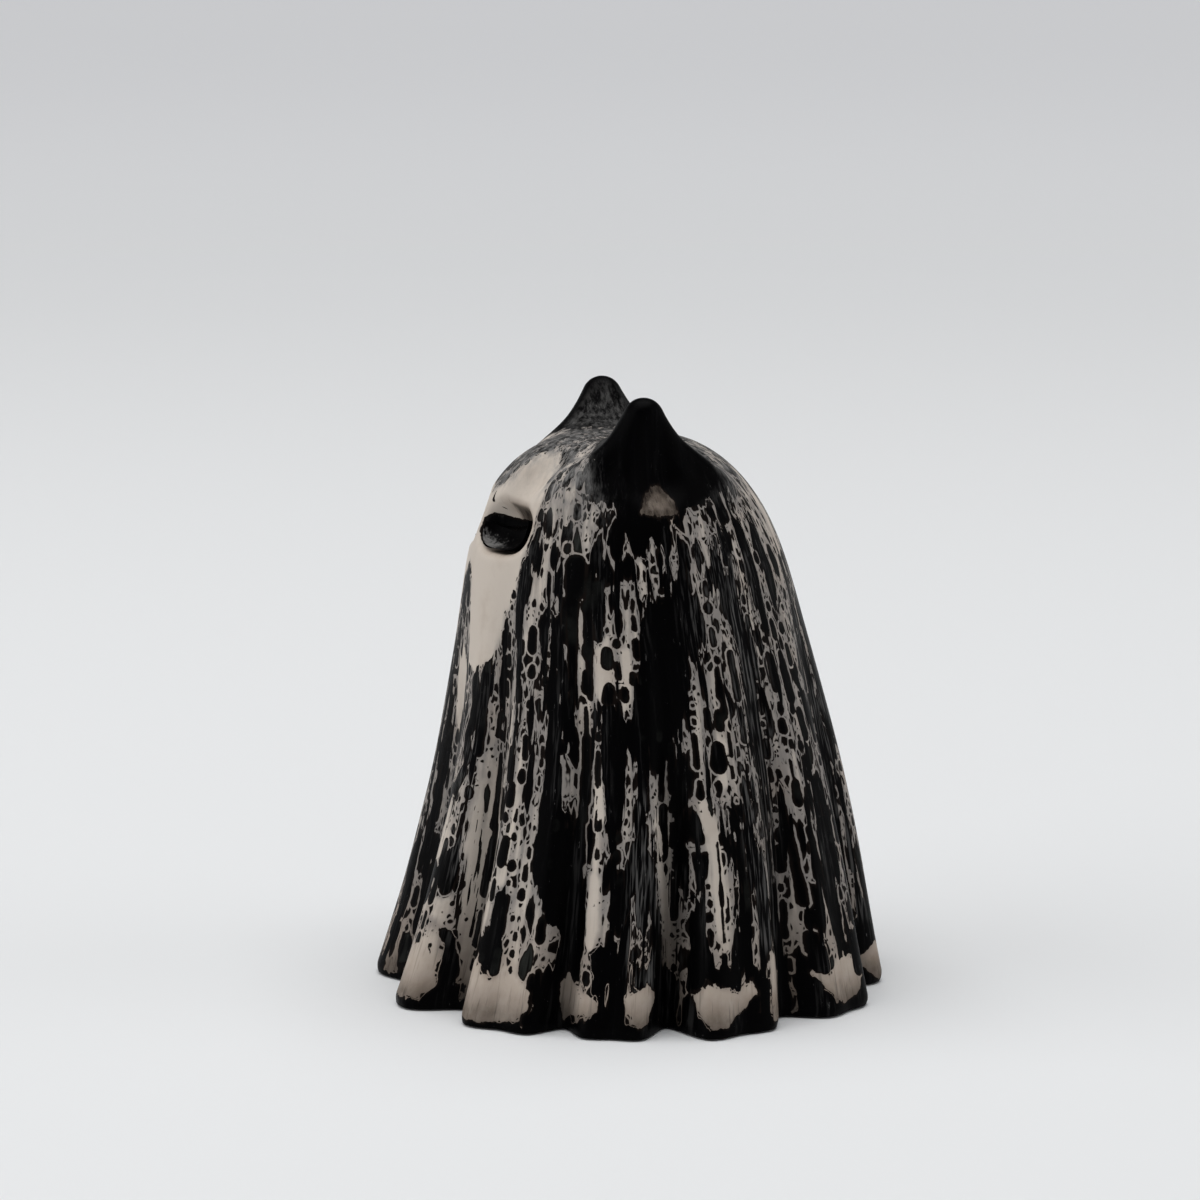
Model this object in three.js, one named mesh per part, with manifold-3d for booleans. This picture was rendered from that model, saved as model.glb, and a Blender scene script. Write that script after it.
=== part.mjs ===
// A small cast figure of a cat under a draped sheet: a hollow body with folds down to a scalloped
// hem, two ear peaks, two lined eye sockets, a plate that closes the foot and a felt pad under it.
// Millimetres, +Z up. The figure looks along -Y and +X is its left. The pad's underside is at z = 0.
import * as THREE from 'three';
import { mergeVertices } from 'three/addons/utils/BufferGeometryUtils.js';
import Module from 'manifold-3d';

const wasm = await Module();
wasm.setup();

// Sheet: a cone that narrows upward and closes in a rounded crown
const footRadius = 29.7;        // front to back, at the floor
const sideStretch = 1.08;       // how much wider the figure is from side to side
const taper = 0.2205;           // radius lost for each millimetre of height
const crownStart = 46;          // where the cone starts to round over
const crownTop = 64.7;          // top of the head between the ears
const crownFullness = 3;        // 2 is an ellipse, more is a squarer shoulder
const leanReach = 1.2;          // the back swells and the head comes forward by this much
const leanPeriod = 96;          // height of one whole wave of that lean

// Hem
const hemLift = 0.2;            // the hem's rim stands this far off the floor
const hemRoundHeight = 1.2;     // height of the rounded bottom edge
const hemRoundInset = 0.4;      // how far that edge rolls in
const hemFlareHeight = 12;      // the sheet kicks out over this height
const hemFlareReach = 0.3;

// Folds: where each ridge stands, counted from the front toward the left side, how far it stands
// proud at the hem, and the depth and upper end of the valley that follows it
const folds = [
  { ridge: -11, proud: 0.2, valley: 4.4, top: 48 },
  { ridge: 21, proud: 1.6, valley: 4.8, top: 54 },
  { ridge: 42, proud: 1.0, valley: 0.5, top: 30 },
  { ridge: 54, proud: 0.7, valley: 3.6, top: 50 },
  { ridge: 69, proud: 0.2, valley: 0.3, top: 26 },
  { ridge: 79, proud: 0.4, valley: 5.4, top: 50 },
  { ridge: 96, proud: 1.3, valley: 0.5, top: 28 },
  { ridge: 109, proud: 0.5, valley: 4.0, top: 52 },
  { ridge: 129, proud: 1.0, valley: 0.3, top: 26 },
  { ridge: 139, proud: 1.4, valley: 4.2, top: 48 },
  { ridge: 161, proud: 0.4, valley: 4.2, top: 46 },
  { ridge: 187, proud: 0.6, valley: 0.5, top: 28 },
  { ridge: 198, proud: 0.5, valley: 4.6, top: 52 },
  { ridge: 221, proud: 0.9, valley: 4.8, top: 46 },
  { ridge: 246, proud: 0.3, valley: 0.4, top: 30 },
  { ridge: 257, proud: 0.4, valley: 5.0, top: 50 },
  { ridge: 279, proud: 1.0, valley: 4.4, top: 52 },
  { ridge: 303, proud: 0.5, valley: 0.5, top: 28 },
  { ridge: 315, proud: 0.7, valley: 4.6, top: 54 },
];
const valleySharpness = 1.25;   // over 1 gives round ridges and narrow valleys
const valleyFade = 1.2;         // how fast a valley shallows toward its upper end
const proudTop = 34;            // ridges lose their extra reach at this height

// Ears: on each side a rounded cone melted into the crown, a ridge running down from its tip to the
// front and another to the back, and a hollow scooped in the outer face between them
const earTip = 70;              // height of the ear tips, which is the height of the figure
const earTipRadius = 2.4;
const earTipSide = 12;          // centre of the tip's ball, from the middle
const earForward = 0.7;         // the ears stand this far in front of the middle
const earRootRadius = 7.6;
const earRootSide = 8.6;
const earRootHeight = 55;
const earMelt = 3.5;            // width of the soft join with the crown
const earRidgeFront = { azimuth: 50, drop: 6.2 };      // drop is counted from the crown's top
const earRidgeBack = { azimuth: 132, drop: 4.7 };
const earRidgeRadius = 1.3;
const earRidgeSunk = 0.9;       // how deep a ridge's centre lies where it dies out in the crown
const earRidgeMelt = 1.2;
const pocketTop = { drop: 4.6, radius: 2.6, depth: 0.9 };        // drop is counted from the ear's tip
const pocketFoot = { drop: 8.4, radius: 4.0, depth: 1.5 };
const pocketBack = 0.2;         // the hollow's middle, behind the figure's middle
const pocketSoftness = 2.0;

// Eyes: a socket on each side, a brow groove running up from it to the ear, and a black lining
const eyeSide = 6.1;            // middle of the eye, from the figure's middle
const eyeHeight = 55;
const eyeHalfWidth = 5.3;
const eyeHalfHeight = 3.0;
const eyeDepth = 4.2;
const eyeSquareness = 2.6;      // 2 is an oval, more is a squarer eye
const liningWall = 0.9;
const liningTop = 1.0;          // the lining stops this far above the middle of the eye
const liningTilt = 9;           // its top edge rises toward the figure's side, in degrees
const browStart = { turn: 4.4, rise: 4.4, radius: 3.4, depth: 1.6 };    // counted from the eye
const browEnd = { turn: 11.4, rise: 7.3, radius: 2.6, depth: 1.2 };
const browSoftness = 1.4;

// Inside
const wall = 3.5;
const socketWall = 1.6;         // wall left behind the eye sockets
const rimWall = 2.0;            // wall left beside the plate, below its ledge
const plateThickness = 2.0;
const padThickness = 1.0;
const padInset = 0.8;           // the pad stays this far inside the plate's edge
const glueGap = 0.3;            // thickness of every glued joint

// Resolution of the sheet: columns to each valley and to each shallow one inside a box pleat
const valleyColumns = 7;
const pleatColumns = 2;
const shallow = 1;              // valleys less deep than this are inside a pleat
const crownRows = 25;
const skirtRows = 17;
const cavityColumns = 3;        // columns to each valley of the hollow inside
const cavityRows = 9;

const ledgeHeight = padThickness + glueGap + plateThickness + glueGap;
const { clamp, degToRad, euclideanModulo, lerp, radToDeg } = THREE.MathUtils;

// Blends two distances so that the bodies melt together over the given width.
function smoothUnion(a, b, width) {
  const overlap = Math.max(width - Math.abs(a - b), 0) / width;
  return Math.min(a, b) - overlap * overlap * width / 4;
}

// Takes body b out of body a, with an edge rounded over the given width.
function smoothCut(a, b, width) {
  return -smoothUnion(-a, b, width);
}

// Distance from a point to a cone with a ball at each end.
function taperedCapsule(point, from, to, fromRadius, toRadius) {
  const axis = to.clone().sub(from);
  const length = axis.length();
  axis.divideScalar(length);
  const arm = point.clone().sub(from);
  const along = arm.dot(axis);
  const across = Math.sqrt(Math.max(arm.lengthSq() - along * along, 0));
  const lean = clamp((fromRadius - toRadius) / length, -0.99, 0.99);
  const foot = clamp(along - across * lean / Math.sqrt(1 - lean * lean), 0, length);
  return arm.addScaledVector(axis, -foot).length() - lerp(fromRadius, toRadius, foot / length);
}

// Azimuths of the columns that run down the sheet: each fold is cut into even steps.
function columnAzimuths(deepSteps, shallowSteps) {
  return folds.flatMap((fold, index) => {
    const next = folds[(index + 1) % folds.length];
    const span = euclideanModulo(next.ridge - fold.ridge, 360);
    const steps = fold.valley < shallow ? shallowSteps : deepSteps;
    return Array.from({ length: steps }, (_, step) => fold.ridge + span * step / steps);
  });
}

// The sheet's axis leans back at the waist and forward at the head.
function leanAt(height) {
  return leanReach * Math.sin(2 * Math.PI * height / leanPeriod);
}

// Azimuth of a point in degrees, in the stretched plan of the figure.
function azimuthOf(point) {
  return radToDeg(Math.atan2(point.x / sideStretch, leanAt(point.z) - point.y));
}

// How far the sheet stands out from, or falls back behind, the plain cone.
function foldOffset(azimuth, height) {
  const turned = euclideanModulo(azimuth - folds[0].ridge, 360) + folds[0].ridge;
  let index = folds.length - 1;
  while (folds[index].ridge > turned) index -= 1;
  const fold = folds[index];
  const next = folds[(index + 1) % folds.length];
  const span = euclideanModulo(next.ridge - fold.ridge, 360);
  const share = (turned - fold.ridge) / span;
  const trough = (0.5 - 0.5 * Math.cos(2 * Math.PI * share)) ** valleySharpness;
  const fade = Math.max(1 - height / fold.top, 0) ** valleyFade;
  const proudFade = Math.max(1 - height / proudTop, 0) ** valleyFade;
  const proud = lerp(fold.proud, next.proud, share * share * (3 - 2 * share));
  return proud * proudFade - fold.valley * trough * fade;
}

// Radius of the sheet at an azimuth in degrees and a height, before the crown rounds it over.
function sheetRadius(azimuth, height) {
  const flare = hemFlareReach * Math.max(1 - height / hemFlareHeight, 0) ** 2;
  const round = Math.max(1 - (height - hemLift) / hemRoundHeight, 0);
  const cone = footRadius - taper * height + flare - hemRoundInset * round * round;
  return cone + foldOffset(azimuth, height);
}

// Distance-like value of the sheet alone: below zero inside, above zero outside.
function sheetField(point) {
  const across = Math.hypot(point.x / sideStretch, point.y - leanAt(point.z));
  const rise = Math.max(point.z - crownStart, 0);
  const radial = across / sheetRadius(azimuthOf(point), point.z);
  const upward = rise / (crownTop - crownStart);
  const scale = (radial ** crownFullness + upward ** crownFullness) ** (1 / crownFullness);
  return Math.hypot(across, rise) * (1 - 1 / Math.max(scale, 1e-6));
}

// The sheet with the ears melted in. Both sides are alike, so the point is folded to the left.
function headField(point) {
  const left = new THREE.Vector3(Math.abs(point.x), point.y, point.z);
  const cone = taperedCapsule(left, earRoot, earTipBall, earRootRadius, earTipRadius);
  const ridge = Math.min(...ridgeFeet.map(
    (foot) => taperedCapsule(left, earTipBall, foot, earRidgeRadius, earRidgeRadius)));
  const ear = smoothUnion(cone, ridge, earRidgeMelt);
  return smoothUnion(sheetField(point), ear, earMelt);
}

// Point where a ray leaves a body given by its field.
function hit(field, origin, direction, reach = 60) {
  let near = 0;
  let far = reach;
  while (far - near > 1e-5) {
    const middle = (near + far) / 2;
    const inside = field(origin.clone().addScaledVector(direction, middle)) < 0;
    if (inside) near = middle;
    else far = middle;
  }
  return origin.clone().addScaledVector(direction, near);
}

// Outward direction of a body's surface at a point.
function normalAt(field, point) {
  const step = 0.05;
  const slope = ['x', 'y', 'z'].map((axis) => {
    const ahead = point.clone();
    const behind = point.clone();
    ahead[axis] += step;
    behind[axis] -= step;
    return field(ahead) - field(behind);
  });
  return new THREE.Vector3(...slope).normalize();
}

// Direction away from the axis at an azimuth, in the stretched plan of the figure.
function outward(azimuth) {
  const angle = degToRad(azimuth);
  return new THREE.Vector3(Math.sin(angle) * sideStretch, -Math.cos(angle), 0);
}

// Point of a surface at an azimuth and a height.
function pointOn(field, azimuth, height) {
  return hit(field, new THREE.Vector3(0, leanAt(height), height), outward(azimuth));
}

const outlineAzimuths = columnAzimuths(valleyColumns, pleatColumns);
const cavityAzimuths = columnAzimuths(cavityColumns, 1);
const earRoot = new THREE.Vector3(earRootSide, -earForward, earRootHeight);
const earTipBall = new THREE.Vector3(earTipSide, -earForward, earTip - earTipRadius);
const ridgeFeet = [earRidgeFront, earRidgeBack].map(({ azimuth, drop }) => {
  const foot = pointOn(sheetField, azimuth, crownTop - drop);
  return foot.addScaledVector(normalAt(sheetField, foot), -earRidgeSunk);
});

// Centre of a ball that sinks to a given depth into the head's surface.
function sunkBall(surface, { radius, depth }) {
  return surface.clone().addScaledVector(normalAt(headField, surface), radius - depth);
}

// Centre of a ball sunk in the ear's outer face, found from the middle of the ear.
function pocketBall(ball) {
  const middle = new THREE.Vector3(earTipSide, pocketBack, earTip - ball.drop);
  return sunkBall(hit(headField, middle, new THREE.Vector3(1, 0, 0)), ball);
}

const eyeMiddle = new THREE.Vector3(eyeSide, leanAt(eyeHeight), eyeHeight);
const eyeCentre = hit(headField, eyeMiddle, new THREE.Vector3(0, -1, 0));

// Centre of a ball sunk in the brow.
function browBall(ball) {
  const azimuth = azimuthOf(eyeCentre) + ball.turn;
  return sunkBall(pointOn(headField, azimuth, eyeHeight + ball.rise), ball);
}

const browFrom = browBall(browStart);
const browTo = browBall(browEnd);
const pocketFrom = pocketBall(pocketTop);
const pocketTo = pocketBall(pocketFoot);

// The whole outside of the body, before the eye sockets are cut.
function bodyField(point) {
  const left = new THREE.Vector3(Math.abs(point.x), point.y, point.z);
  const brow = taperedCapsule(left, browFrom, browTo, browStart.radius, browEnd.radius);
  const pocket = taperedCapsule(left, pocketFrom, pocketTo, pocketTop.radius, pocketFoot.radius);
  return smoothCut(smoothCut(headField(point), brow, browSoftness), pocket, pocketSoftness);
}

// Turns a closed mesh geometry into a solid that can be cut.
function toSolid(geometry) {
  const bare = geometry.clone();
  bare.deleteAttribute('normal');
  bare.deleteAttribute('uv');
  const merged = mergeVertices(bare, 1e-4);
  return new wasm.Manifold(new wasm.Mesh({
    numProp: 3,
    vertProperties: new Float32Array(merged.attributes.position.array),
    triVerts: new Uint32Array(merged.index.array),
  }));
}

// Turns a solid back into a geometry.
function toGeometry(solid) {
  const mesh = solid.getMesh();
  const geometry = new THREE.BufferGeometry();
  geometry.setAttribute('position', new THREE.BufferAttribute(mesh.vertProperties, 3));
  geometry.setIndex(new THREE.BufferAttribute(mesh.triVerts, 1));
  geometry.computeVertexNormals();
  return geometry;
}

// Rows of rays that comb the body from the crown down: upright over the head, so that they reach
// the steep ears, then fanning out to level along the skirt.
function combRows(count, skirt, bottom) {
  const innerRadius = 12;
  const innerRise = 8;
  const rows = [];
  for (let row = 1; row <= count; row += 1) {
    const share = row / count;
    const around = share * Math.PI / 2;
    rows.push({
      radius: innerRadius * Math.sin(around),
      height: crownStart + innerRise * Math.cos(around),
      tilt: share ** 3 * Math.PI / 2,
    });
  }
  for (let row = 1; row <= skirt; row += 1) {
    const share = row / skirt;
    const eased = 1 - (1 - share) ** 1.35;
    rows.push({ radius: 0, height: lerp(crownStart, bottom, eased), tilt: Math.PI / 2 });
  }
  return rows;
}

// A closed solid whose side is found by casting the comb of rays against a field.
function combedSolid(field, azimuths, count, skirt, bottom) {
  const around = azimuths.length;
  const rows = combRows(count, skirt, bottom);
  const up = new THREE.Vector3(0, 0, 1);
  const apex = hit(field, new THREE.Vector3(0, leanAt(crownTop), crownStart), up);
  const points = [apex.x, apex.y, apex.z];
  for (const { radius, tilt, height } of rows) {
    for (const azimuth of azimuths) {
      const away = outward(azimuth);
      const origin = new THREE.Vector3(0, leanAt(height), height).addScaledVector(away, radius);
      const direction = away.multiplyScalar(Math.sin(tilt)).addScaledVector(up, Math.cos(tilt));
      points.push(...hit(field, origin, direction));
    }
  }
  points.push(0, leanAt(bottom), bottom);
  const foot = 1 + rows.length * around;
  const faces = [];
  for (let column = 0; column < around; column += 1) {
    const next = (column + 1) % around;
    faces.push(0, 1 + column, 1 + next);
    for (let row = 0; row + 1 < rows.length; row += 1) {
      const upper = 1 + row * around;
      const lower = upper + around;
      faces.push(upper + column, lower + column, lower + next);
      faces.push(upper + column, lower + next, upper + next);
    }
    faces.push(foot - around + column, foot, foot - around + next);
  }
  const geometry = new THREE.BufferGeometry();
  geometry.setAttribute('position', new THREE.Float32BufferAttribute(points, 3));
  geometry.setIndex(faces);
  return toSolid(geometry);
}

// A flat slab whose edge follows the sheet's folds at one height, set in from it.
function scallopedSlab(height, inset, bottom, thickness) {
  const outline = outlineAzimuths.map((azimuth) => {
    const edge = outward(azimuth).multiplyScalar(sheetRadius(azimuth, height) - inset);
    return new THREE.Vector2(edge.x, edge.y + leanAt(height));
  });
  const flat = { depth: thickness, bevelEnabled: false };
  const slab = new THREE.ExtrudeGeometry(new THREE.Shape(outline), flat);
  return slab.translate(0, 0, bottom);
}

// Centre and directions of the left eye: outward, level across it and up along it.
function eyeFrame() {
  const out = normalAt(headField, eyeCentre);
  const across = new THREE.Vector3(0, 0, 1).cross(out).normalize();
  const upward = out.clone().cross(across);
  return new THREE.Matrix4().makeBasis(across, upward, out).setPosition(eyeCentre);
}

// The left eye's hollow as a solid, shrunk on all sides by a margin, or grown where it is negative.
function eyeHollow(margin) {
  const ball = new THREE.SphereGeometry(1, 30, 16);
  const places = ball.attributes.position;
  const place = new THREE.Vector3();
  for (let index = 0; index < places.count; index += 1) {
    place.fromBufferAttribute(places, index);
    const reach = place.toArray().reduce((sum, part) => sum + Math.abs(part) ** eyeSquareness, 0);
    place.divideScalar(reach ** (1 / eyeSquareness));
    places.setXYZ(index, place.x, place.y, place.z);
  }
  ball.scale(eyeHalfWidth - margin, eyeHalfHeight - margin, eyeDepth - margin);
  return toSolid(ball.applyMatrix4(eyeFrame()));
}

// The right-hand copy of a solid.
function mirrored(solid) {
  return solid.mirror([1, 0, 0]);
}

const outside = combedSolid(bodyField, outlineAzimuths, crownRows, skirtRows, hemLift);

// The cast body: outside, less the hollow, the mouth for the plate and the two sockets.
function drapedBody() {
  const innerField = (point) => bodyField(point) + wall;
  const inside = combedSolid(innerField, cavityAzimuths, cavityRows, cavityRows, ledgeHeight - 1);
  const backing = eyeHollow(-socketWall);
  const hollow = inside.subtract(backing).subtract(mirrored(backing));
  const mouth = toSolid(scallopedSlab(ledgeHeight, rimWall, -1, ledgeHeight + 1));
  const socket = eyeHollow(0);
  return outside.subtract(hollow).subtract(mouth).subtract(socket).subtract(mirrored(socket));
}

// The black lining of the left socket: a thin bowl, flush with the sheet, open at the top.
function eyeLining() {
  const keep = new THREE.BoxGeometry(4 * eyeHalfWidth, 4 * eyeHalfHeight, 4 * eyeDepth);
  keep.translate(0, liningTop - 2 * eyeHalfHeight, 0).rotateZ(degToRad(liningTilt));
  const bowl = eyeHollow(glueGap).subtract(eyeHollow(glueGap + liningWall));
  return bowl.intersect(outside).intersect(toSolid(keep.applyMatrix4(eyeFrame())));
}

// Adds one named piece to the figure.
const figure = new THREE.Group();
function addPiece(name, geometry, color, roughness) {
  const material = new THREE.MeshStandardMaterial({ color, roughness, metalness: 0 });
  const piece = new THREE.Mesh(geometry, material);
  piece.name = name;
  figure.add(piece);
}

const plateBottom = padThickness + glueGap;
const plateInset = rimWall + glueGap;
addPiece('draped_body', toGeometry(drapedBody()), 0xcfc6bb, 0.55);
addPiece('left_eye', toGeometry(eyeLining()), 0x0b0b0d, 0.45);
addPiece('right_eye', toGeometry(mirrored(eyeLining())), 0x0b0b0d, 0.45);
addPiece('base_plate', scallopedSlab(ledgeHeight, plateInset, plateBottom, plateThickness), 0x141416, 0.6);
addPiece('felt_pad', scallopedSlab(ledgeHeight, plateInset + padInset, 0, padThickness), 0x1c1c1e, 0.95);

export default figure;
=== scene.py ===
"""Looks of a small cast ghost cat under a draped sheet, with black paint poured over bone white.

The sheet, its folds, ears and eye sockets follow one field in millimetres, as the solids do. The
figure looks along -Y and +X is its left. Azimuths are counted from the front toward the left side.
"""
from math import cos, pi, radians, sin, tau

import bpy
import numpy as np
from bpy.props import FloatProperty, FloatVectorProperty, PointerProperty
from mathutils import Matrix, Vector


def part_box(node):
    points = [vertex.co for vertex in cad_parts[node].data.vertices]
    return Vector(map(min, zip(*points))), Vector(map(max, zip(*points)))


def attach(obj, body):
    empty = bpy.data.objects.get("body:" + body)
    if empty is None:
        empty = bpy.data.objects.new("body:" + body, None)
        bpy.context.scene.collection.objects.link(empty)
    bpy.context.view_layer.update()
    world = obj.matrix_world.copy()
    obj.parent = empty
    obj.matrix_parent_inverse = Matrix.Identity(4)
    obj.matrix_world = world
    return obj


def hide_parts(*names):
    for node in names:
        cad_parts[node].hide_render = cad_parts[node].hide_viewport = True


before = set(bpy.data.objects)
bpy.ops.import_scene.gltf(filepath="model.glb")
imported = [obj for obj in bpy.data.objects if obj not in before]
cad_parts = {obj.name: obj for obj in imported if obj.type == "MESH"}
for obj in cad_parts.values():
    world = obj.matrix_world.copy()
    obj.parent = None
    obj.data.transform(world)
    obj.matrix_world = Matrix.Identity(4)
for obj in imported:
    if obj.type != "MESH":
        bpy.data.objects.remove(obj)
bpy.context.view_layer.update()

bl_info = {
    "name": "Ghost cat figurine",
    "version": (1, 0, 0),
    "blender": (4, 5, 0),
    "location": "3D View > Sidebar > Ghost cat",
    "description": "Builds a cast ghost cat under a poured-paint sheet",
    "category": "Add Mesh",
}

MM = 0.001

# Dark and light grain of the board, and the depth of the felt
BOARD_DARK = (0.006, 0.006, 0.006)
BOARD_LIGHT = (0.022, 0.021, 0.02)
FELT_DARK = (0.004, 0.004, 0.0045)

# The sheet: a cone that closes in a rounded crown and leans back at the waist
FOOT_RADIUS = 29.7
SIDE_STRETCH = 1.08
TAPER = 0.2205
CROWN_START = 46.0
CROWN_TOP = 64.7
CROWN_FULLNESS = 3.0
LEAN_REACH = 1.2
LEAN_PERIOD = 96.0
HEM_LIFT = 0.2
HEM_ROUND_HEIGHT = 1.2
HEM_ROUND_INSET = 0.4
HEM_FLARE_HEIGHT = 12.0
HEM_FLARE_REACH = 0.3

# Folds: azimuth of each ridge, how far it stands proud at the hem, depth and top of the next valley
FOLDS = np.array([
    (-11, 0.2, 4.4, 48), (21, 1.6, 4.8, 54), (42, 1.0, 0.5, 30), (54, 0.7, 3.6, 50),
    (69, 0.2, 0.3, 26), (79, 0.4, 5.4, 50), (96, 1.3, 0.5, 28), (109, 0.5, 4.0, 52),
    (129, 1.0, 0.3, 26), (139, 1.4, 4.2, 48), (161, 0.4, 4.2, 46), (187, 0.6, 0.5, 28),
    (198, 0.5, 4.6, 52), (221, 0.9, 4.8, 46), (246, 0.3, 0.4, 30), (257, 0.4, 5.0, 50),
    (279, 1.0, 4.4, 52), (303, 0.5, 0.5, 28), (315, 0.7, 4.6, 54),
])
VALLEY_SHARPNESS = 1.25
VALLEY_FADE = 1.2
PROUD_TOP = 34.0

# Ears: a rounded cone, two ridges that run down from its tip, and a hollow in the outer face
EAR_ROOT = np.array([8.6, -0.7, 55.0])
EAR_TIP = np.array([12.0, -0.7, 67.6])
EAR_ROOT_RADIUS = 7.6
EAR_TIP_RADIUS = 2.4
EAR_MELT = 3.5
EAR_RIDGES = ((50, 58.5), (132, 60.0))
EAR_RIDGE_RADIUS = 1.3
EAR_RIDGE_SUNK = 0.9
EAR_RIDGE_MELT = 1.2
POCKET_TOP = {"height": 65.4, "radius": 2.6, "depth": 0.9}
POCKET_FOOT = {"height": 61.6, "radius": 4.0, "depth": 1.5}
POCKET_BACK = 0.2
POCKET_SOFTNESS = 2.0

# Eyes: half width, half height and depth of the socket, and the brow groove above it
EYE_SIDE = 6.1
EYE_HEIGHT = 55.0
EYE_SIZE = np.array([5.3, 3.0, 4.2])
EYE_SQUARENESS = 2.6
SOCKET_SOFTNESS = 1.5
LINING_WALL = 0.9
LINING_TOP = 1.0
LINING_TILT = 9.0
SOCKET_PAINT = 1.75             # upper edge of the black in a socket, above the eye's middle
SOCKET_PAINT_TILT = 2.5         # tilt of that edge, in degrees
BROW_START = {"turn": 4.4, "rise": 4.4, "radius": 3.4, "depth": 1.6}
BROW_END = {"turn": 11.4, "rise": 7.3, "radius": 2.6, "depth": 1.2}
BROW_SOFTNESS = 1.4

# Inside
WALL = 3.5
SOCKET_WALL = 1.6
RIM_WALL = 2.0
PLATE_BOTTOM = 1.3
PLATE_TOP = 3.3
LEDGE = 3.6
PLATE_INSET = 2.3
PAD_TOP = 1.0
PAD_INSET = 3.1


# Stage: the camera's aim beside the figure's axis and above the floor, and the floor in metres
AIM_SIDE = -3.25
AIM_HEIGHT = 44.75
FLOOR_REACH = 9.0
FLOOR_COLUMNS = 96
FLOOR_RINGS = 24


def smooth_union(a, b, width):
    """Blends two distances so that the bodies melt together over the width."""
    overlap = np.maximum(width - np.abs(a - b), 0) / width
    return np.minimum(a, b) - overlap ** 2 * width / 4


def smooth_cut(a, b, width):
    """Takes body b out of body a, with an edge rounded over the width."""
    return -smooth_union(-a, b, width)


def tapered_capsule(point, start, end, start_radius, end_radius):
    """Distance from points to a cone with a ball at each end."""
    length = np.linalg.norm(end - start)
    axis = (end - start) / length
    arm = point - start
    along = arm @ axis
    across = np.sqrt(np.maximum((arm ** 2).sum(-1) - along ** 2, 0))
    lean = (start_radius - end_radius) / length
    foot = np.clip(along - across * lean / np.sqrt(1 - lean ** 2), 0, length)
    reach = start_radius + (end_radius - start_radius) * foot / length
    return np.linalg.norm(arm - foot[..., None] * axis, axis=-1) - reach


def lean_at(height):
    """How far back the sheet's axis stands at a height."""
    return LEAN_REACH * np.sin(tau * height / LEAN_PERIOD)


def fold_offset(azimuth, height):
    """How far the sheet stands out from, or falls back behind, the plain cone."""
    ridges, prouds, valleys, tops = FOLDS.T
    turned = np.mod(azimuth - ridges[0], 360) + ridges[0]
    fold = np.searchsorted(ridges, turned, side="right") - 1
    following = (fold + 1) % len(ridges)
    share = (turned - ridges[fold]) / np.mod(ridges[following] - ridges[fold], 360)
    trough = (0.5 - 0.5 * np.cos(tau * share)) ** VALLEY_SHARPNESS
    fade = np.maximum(1 - height / tops[fold], 0) ** VALLEY_FADE
    proud_fade = np.maximum(1 - height / PROUD_TOP, 0) ** VALLEY_FADE
    rise = share ** 2 * (3 - 2 * share)
    proud = prouds[fold] + (prouds[following] - prouds[fold]) * rise
    return proud * proud_fade - valleys[fold] * trough * fade


def sheet_radius(azimuth, height):
    """Radius of the sheet before the crown rounds it over."""
    flare = HEM_FLARE_REACH * np.maximum(1 - height / HEM_FLARE_HEIGHT, 0) ** 2
    rounding = HEM_ROUND_INSET * np.maximum(1 - (height - HEM_LIFT) / HEM_ROUND_HEIGHT, 0) ** 2
    return FOOT_RADIUS - TAPER * height + flare - rounding + fold_offset(azimuth, height)


def sheet_field(point):
    """Distance-like value of the sheet alone, below zero inside."""
    forward = -(point[..., 1] - lean_at(point[..., 2]))
    side = point[..., 0] / SIDE_STRETCH
    azimuth = np.degrees(np.arctan2(side, forward))
    across = np.hypot(side, forward)
    rise = np.maximum(point[..., 2] - CROWN_START, 0)
    radial = across / sheet_radius(azimuth, point[..., 2])
    upward = rise / (CROWN_TOP - CROWN_START)
    scale = (radial ** CROWN_FULLNESS + upward ** CROWN_FULLNESS) ** (1 / CROWN_FULLNESS)
    return np.hypot(across, rise) * (1 - 1 / np.maximum(scale, 1e-6))


def hit(field, origin, direction, reach=60.0):
    """Points where rays leave a body given by its field."""
    near = np.zeros(origin.shape[:-1])
    far = near + reach
    for _ in range(22):
        middle = (near + far) / 2
        inside = field(origin + direction * middle[..., None]) < 0
        near = np.where(inside, middle, near)
        far = np.where(inside, far, middle)
    return origin + direction * near[..., None]


def normal_at(field, point):
    """Outward directions of a body's surface."""
    slopes = [field(point + step) - field(point - step) for step in np.eye(3) * 0.05]
    slope = np.stack(slopes, -1)
    return slope / np.linalg.norm(slope, axis=-1, keepdims=True)


def outward(azimuth):
    """Directions away from the axis, in the stretched plan of the figure."""
    angle = np.radians(azimuth)
    return np.stack([np.sin(angle) * SIDE_STRETCH, -np.cos(angle), 0 * angle], -1)


def point_on(field, azimuth, height):
    """Points of a surface at an azimuth and a height."""
    azimuth, height = np.broadcast_arrays(np.asarray(azimuth, float), np.asarray(height, float))
    origin = np.stack([0 * height, lean_at(height), height], -1)
    return hit(field, origin, outward(azimuth))


def folded(point):
    """Points moved to the figure's left side, for what is alike on both sides."""
    return np.concatenate([np.abs(point[..., :1]), point[..., 1:]], -1)


def ridge_foot(azimuth, height):
    """Where a ridge of the ear dies out in the crown."""
    foot = point_on(sheet_field, azimuth, height)
    return foot - EAR_RIDGE_SUNK * normal_at(sheet_field, foot)


RIDGE_FEET = [ridge_foot(azimuth, height) for azimuth, height in EAR_RIDGES]


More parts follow.
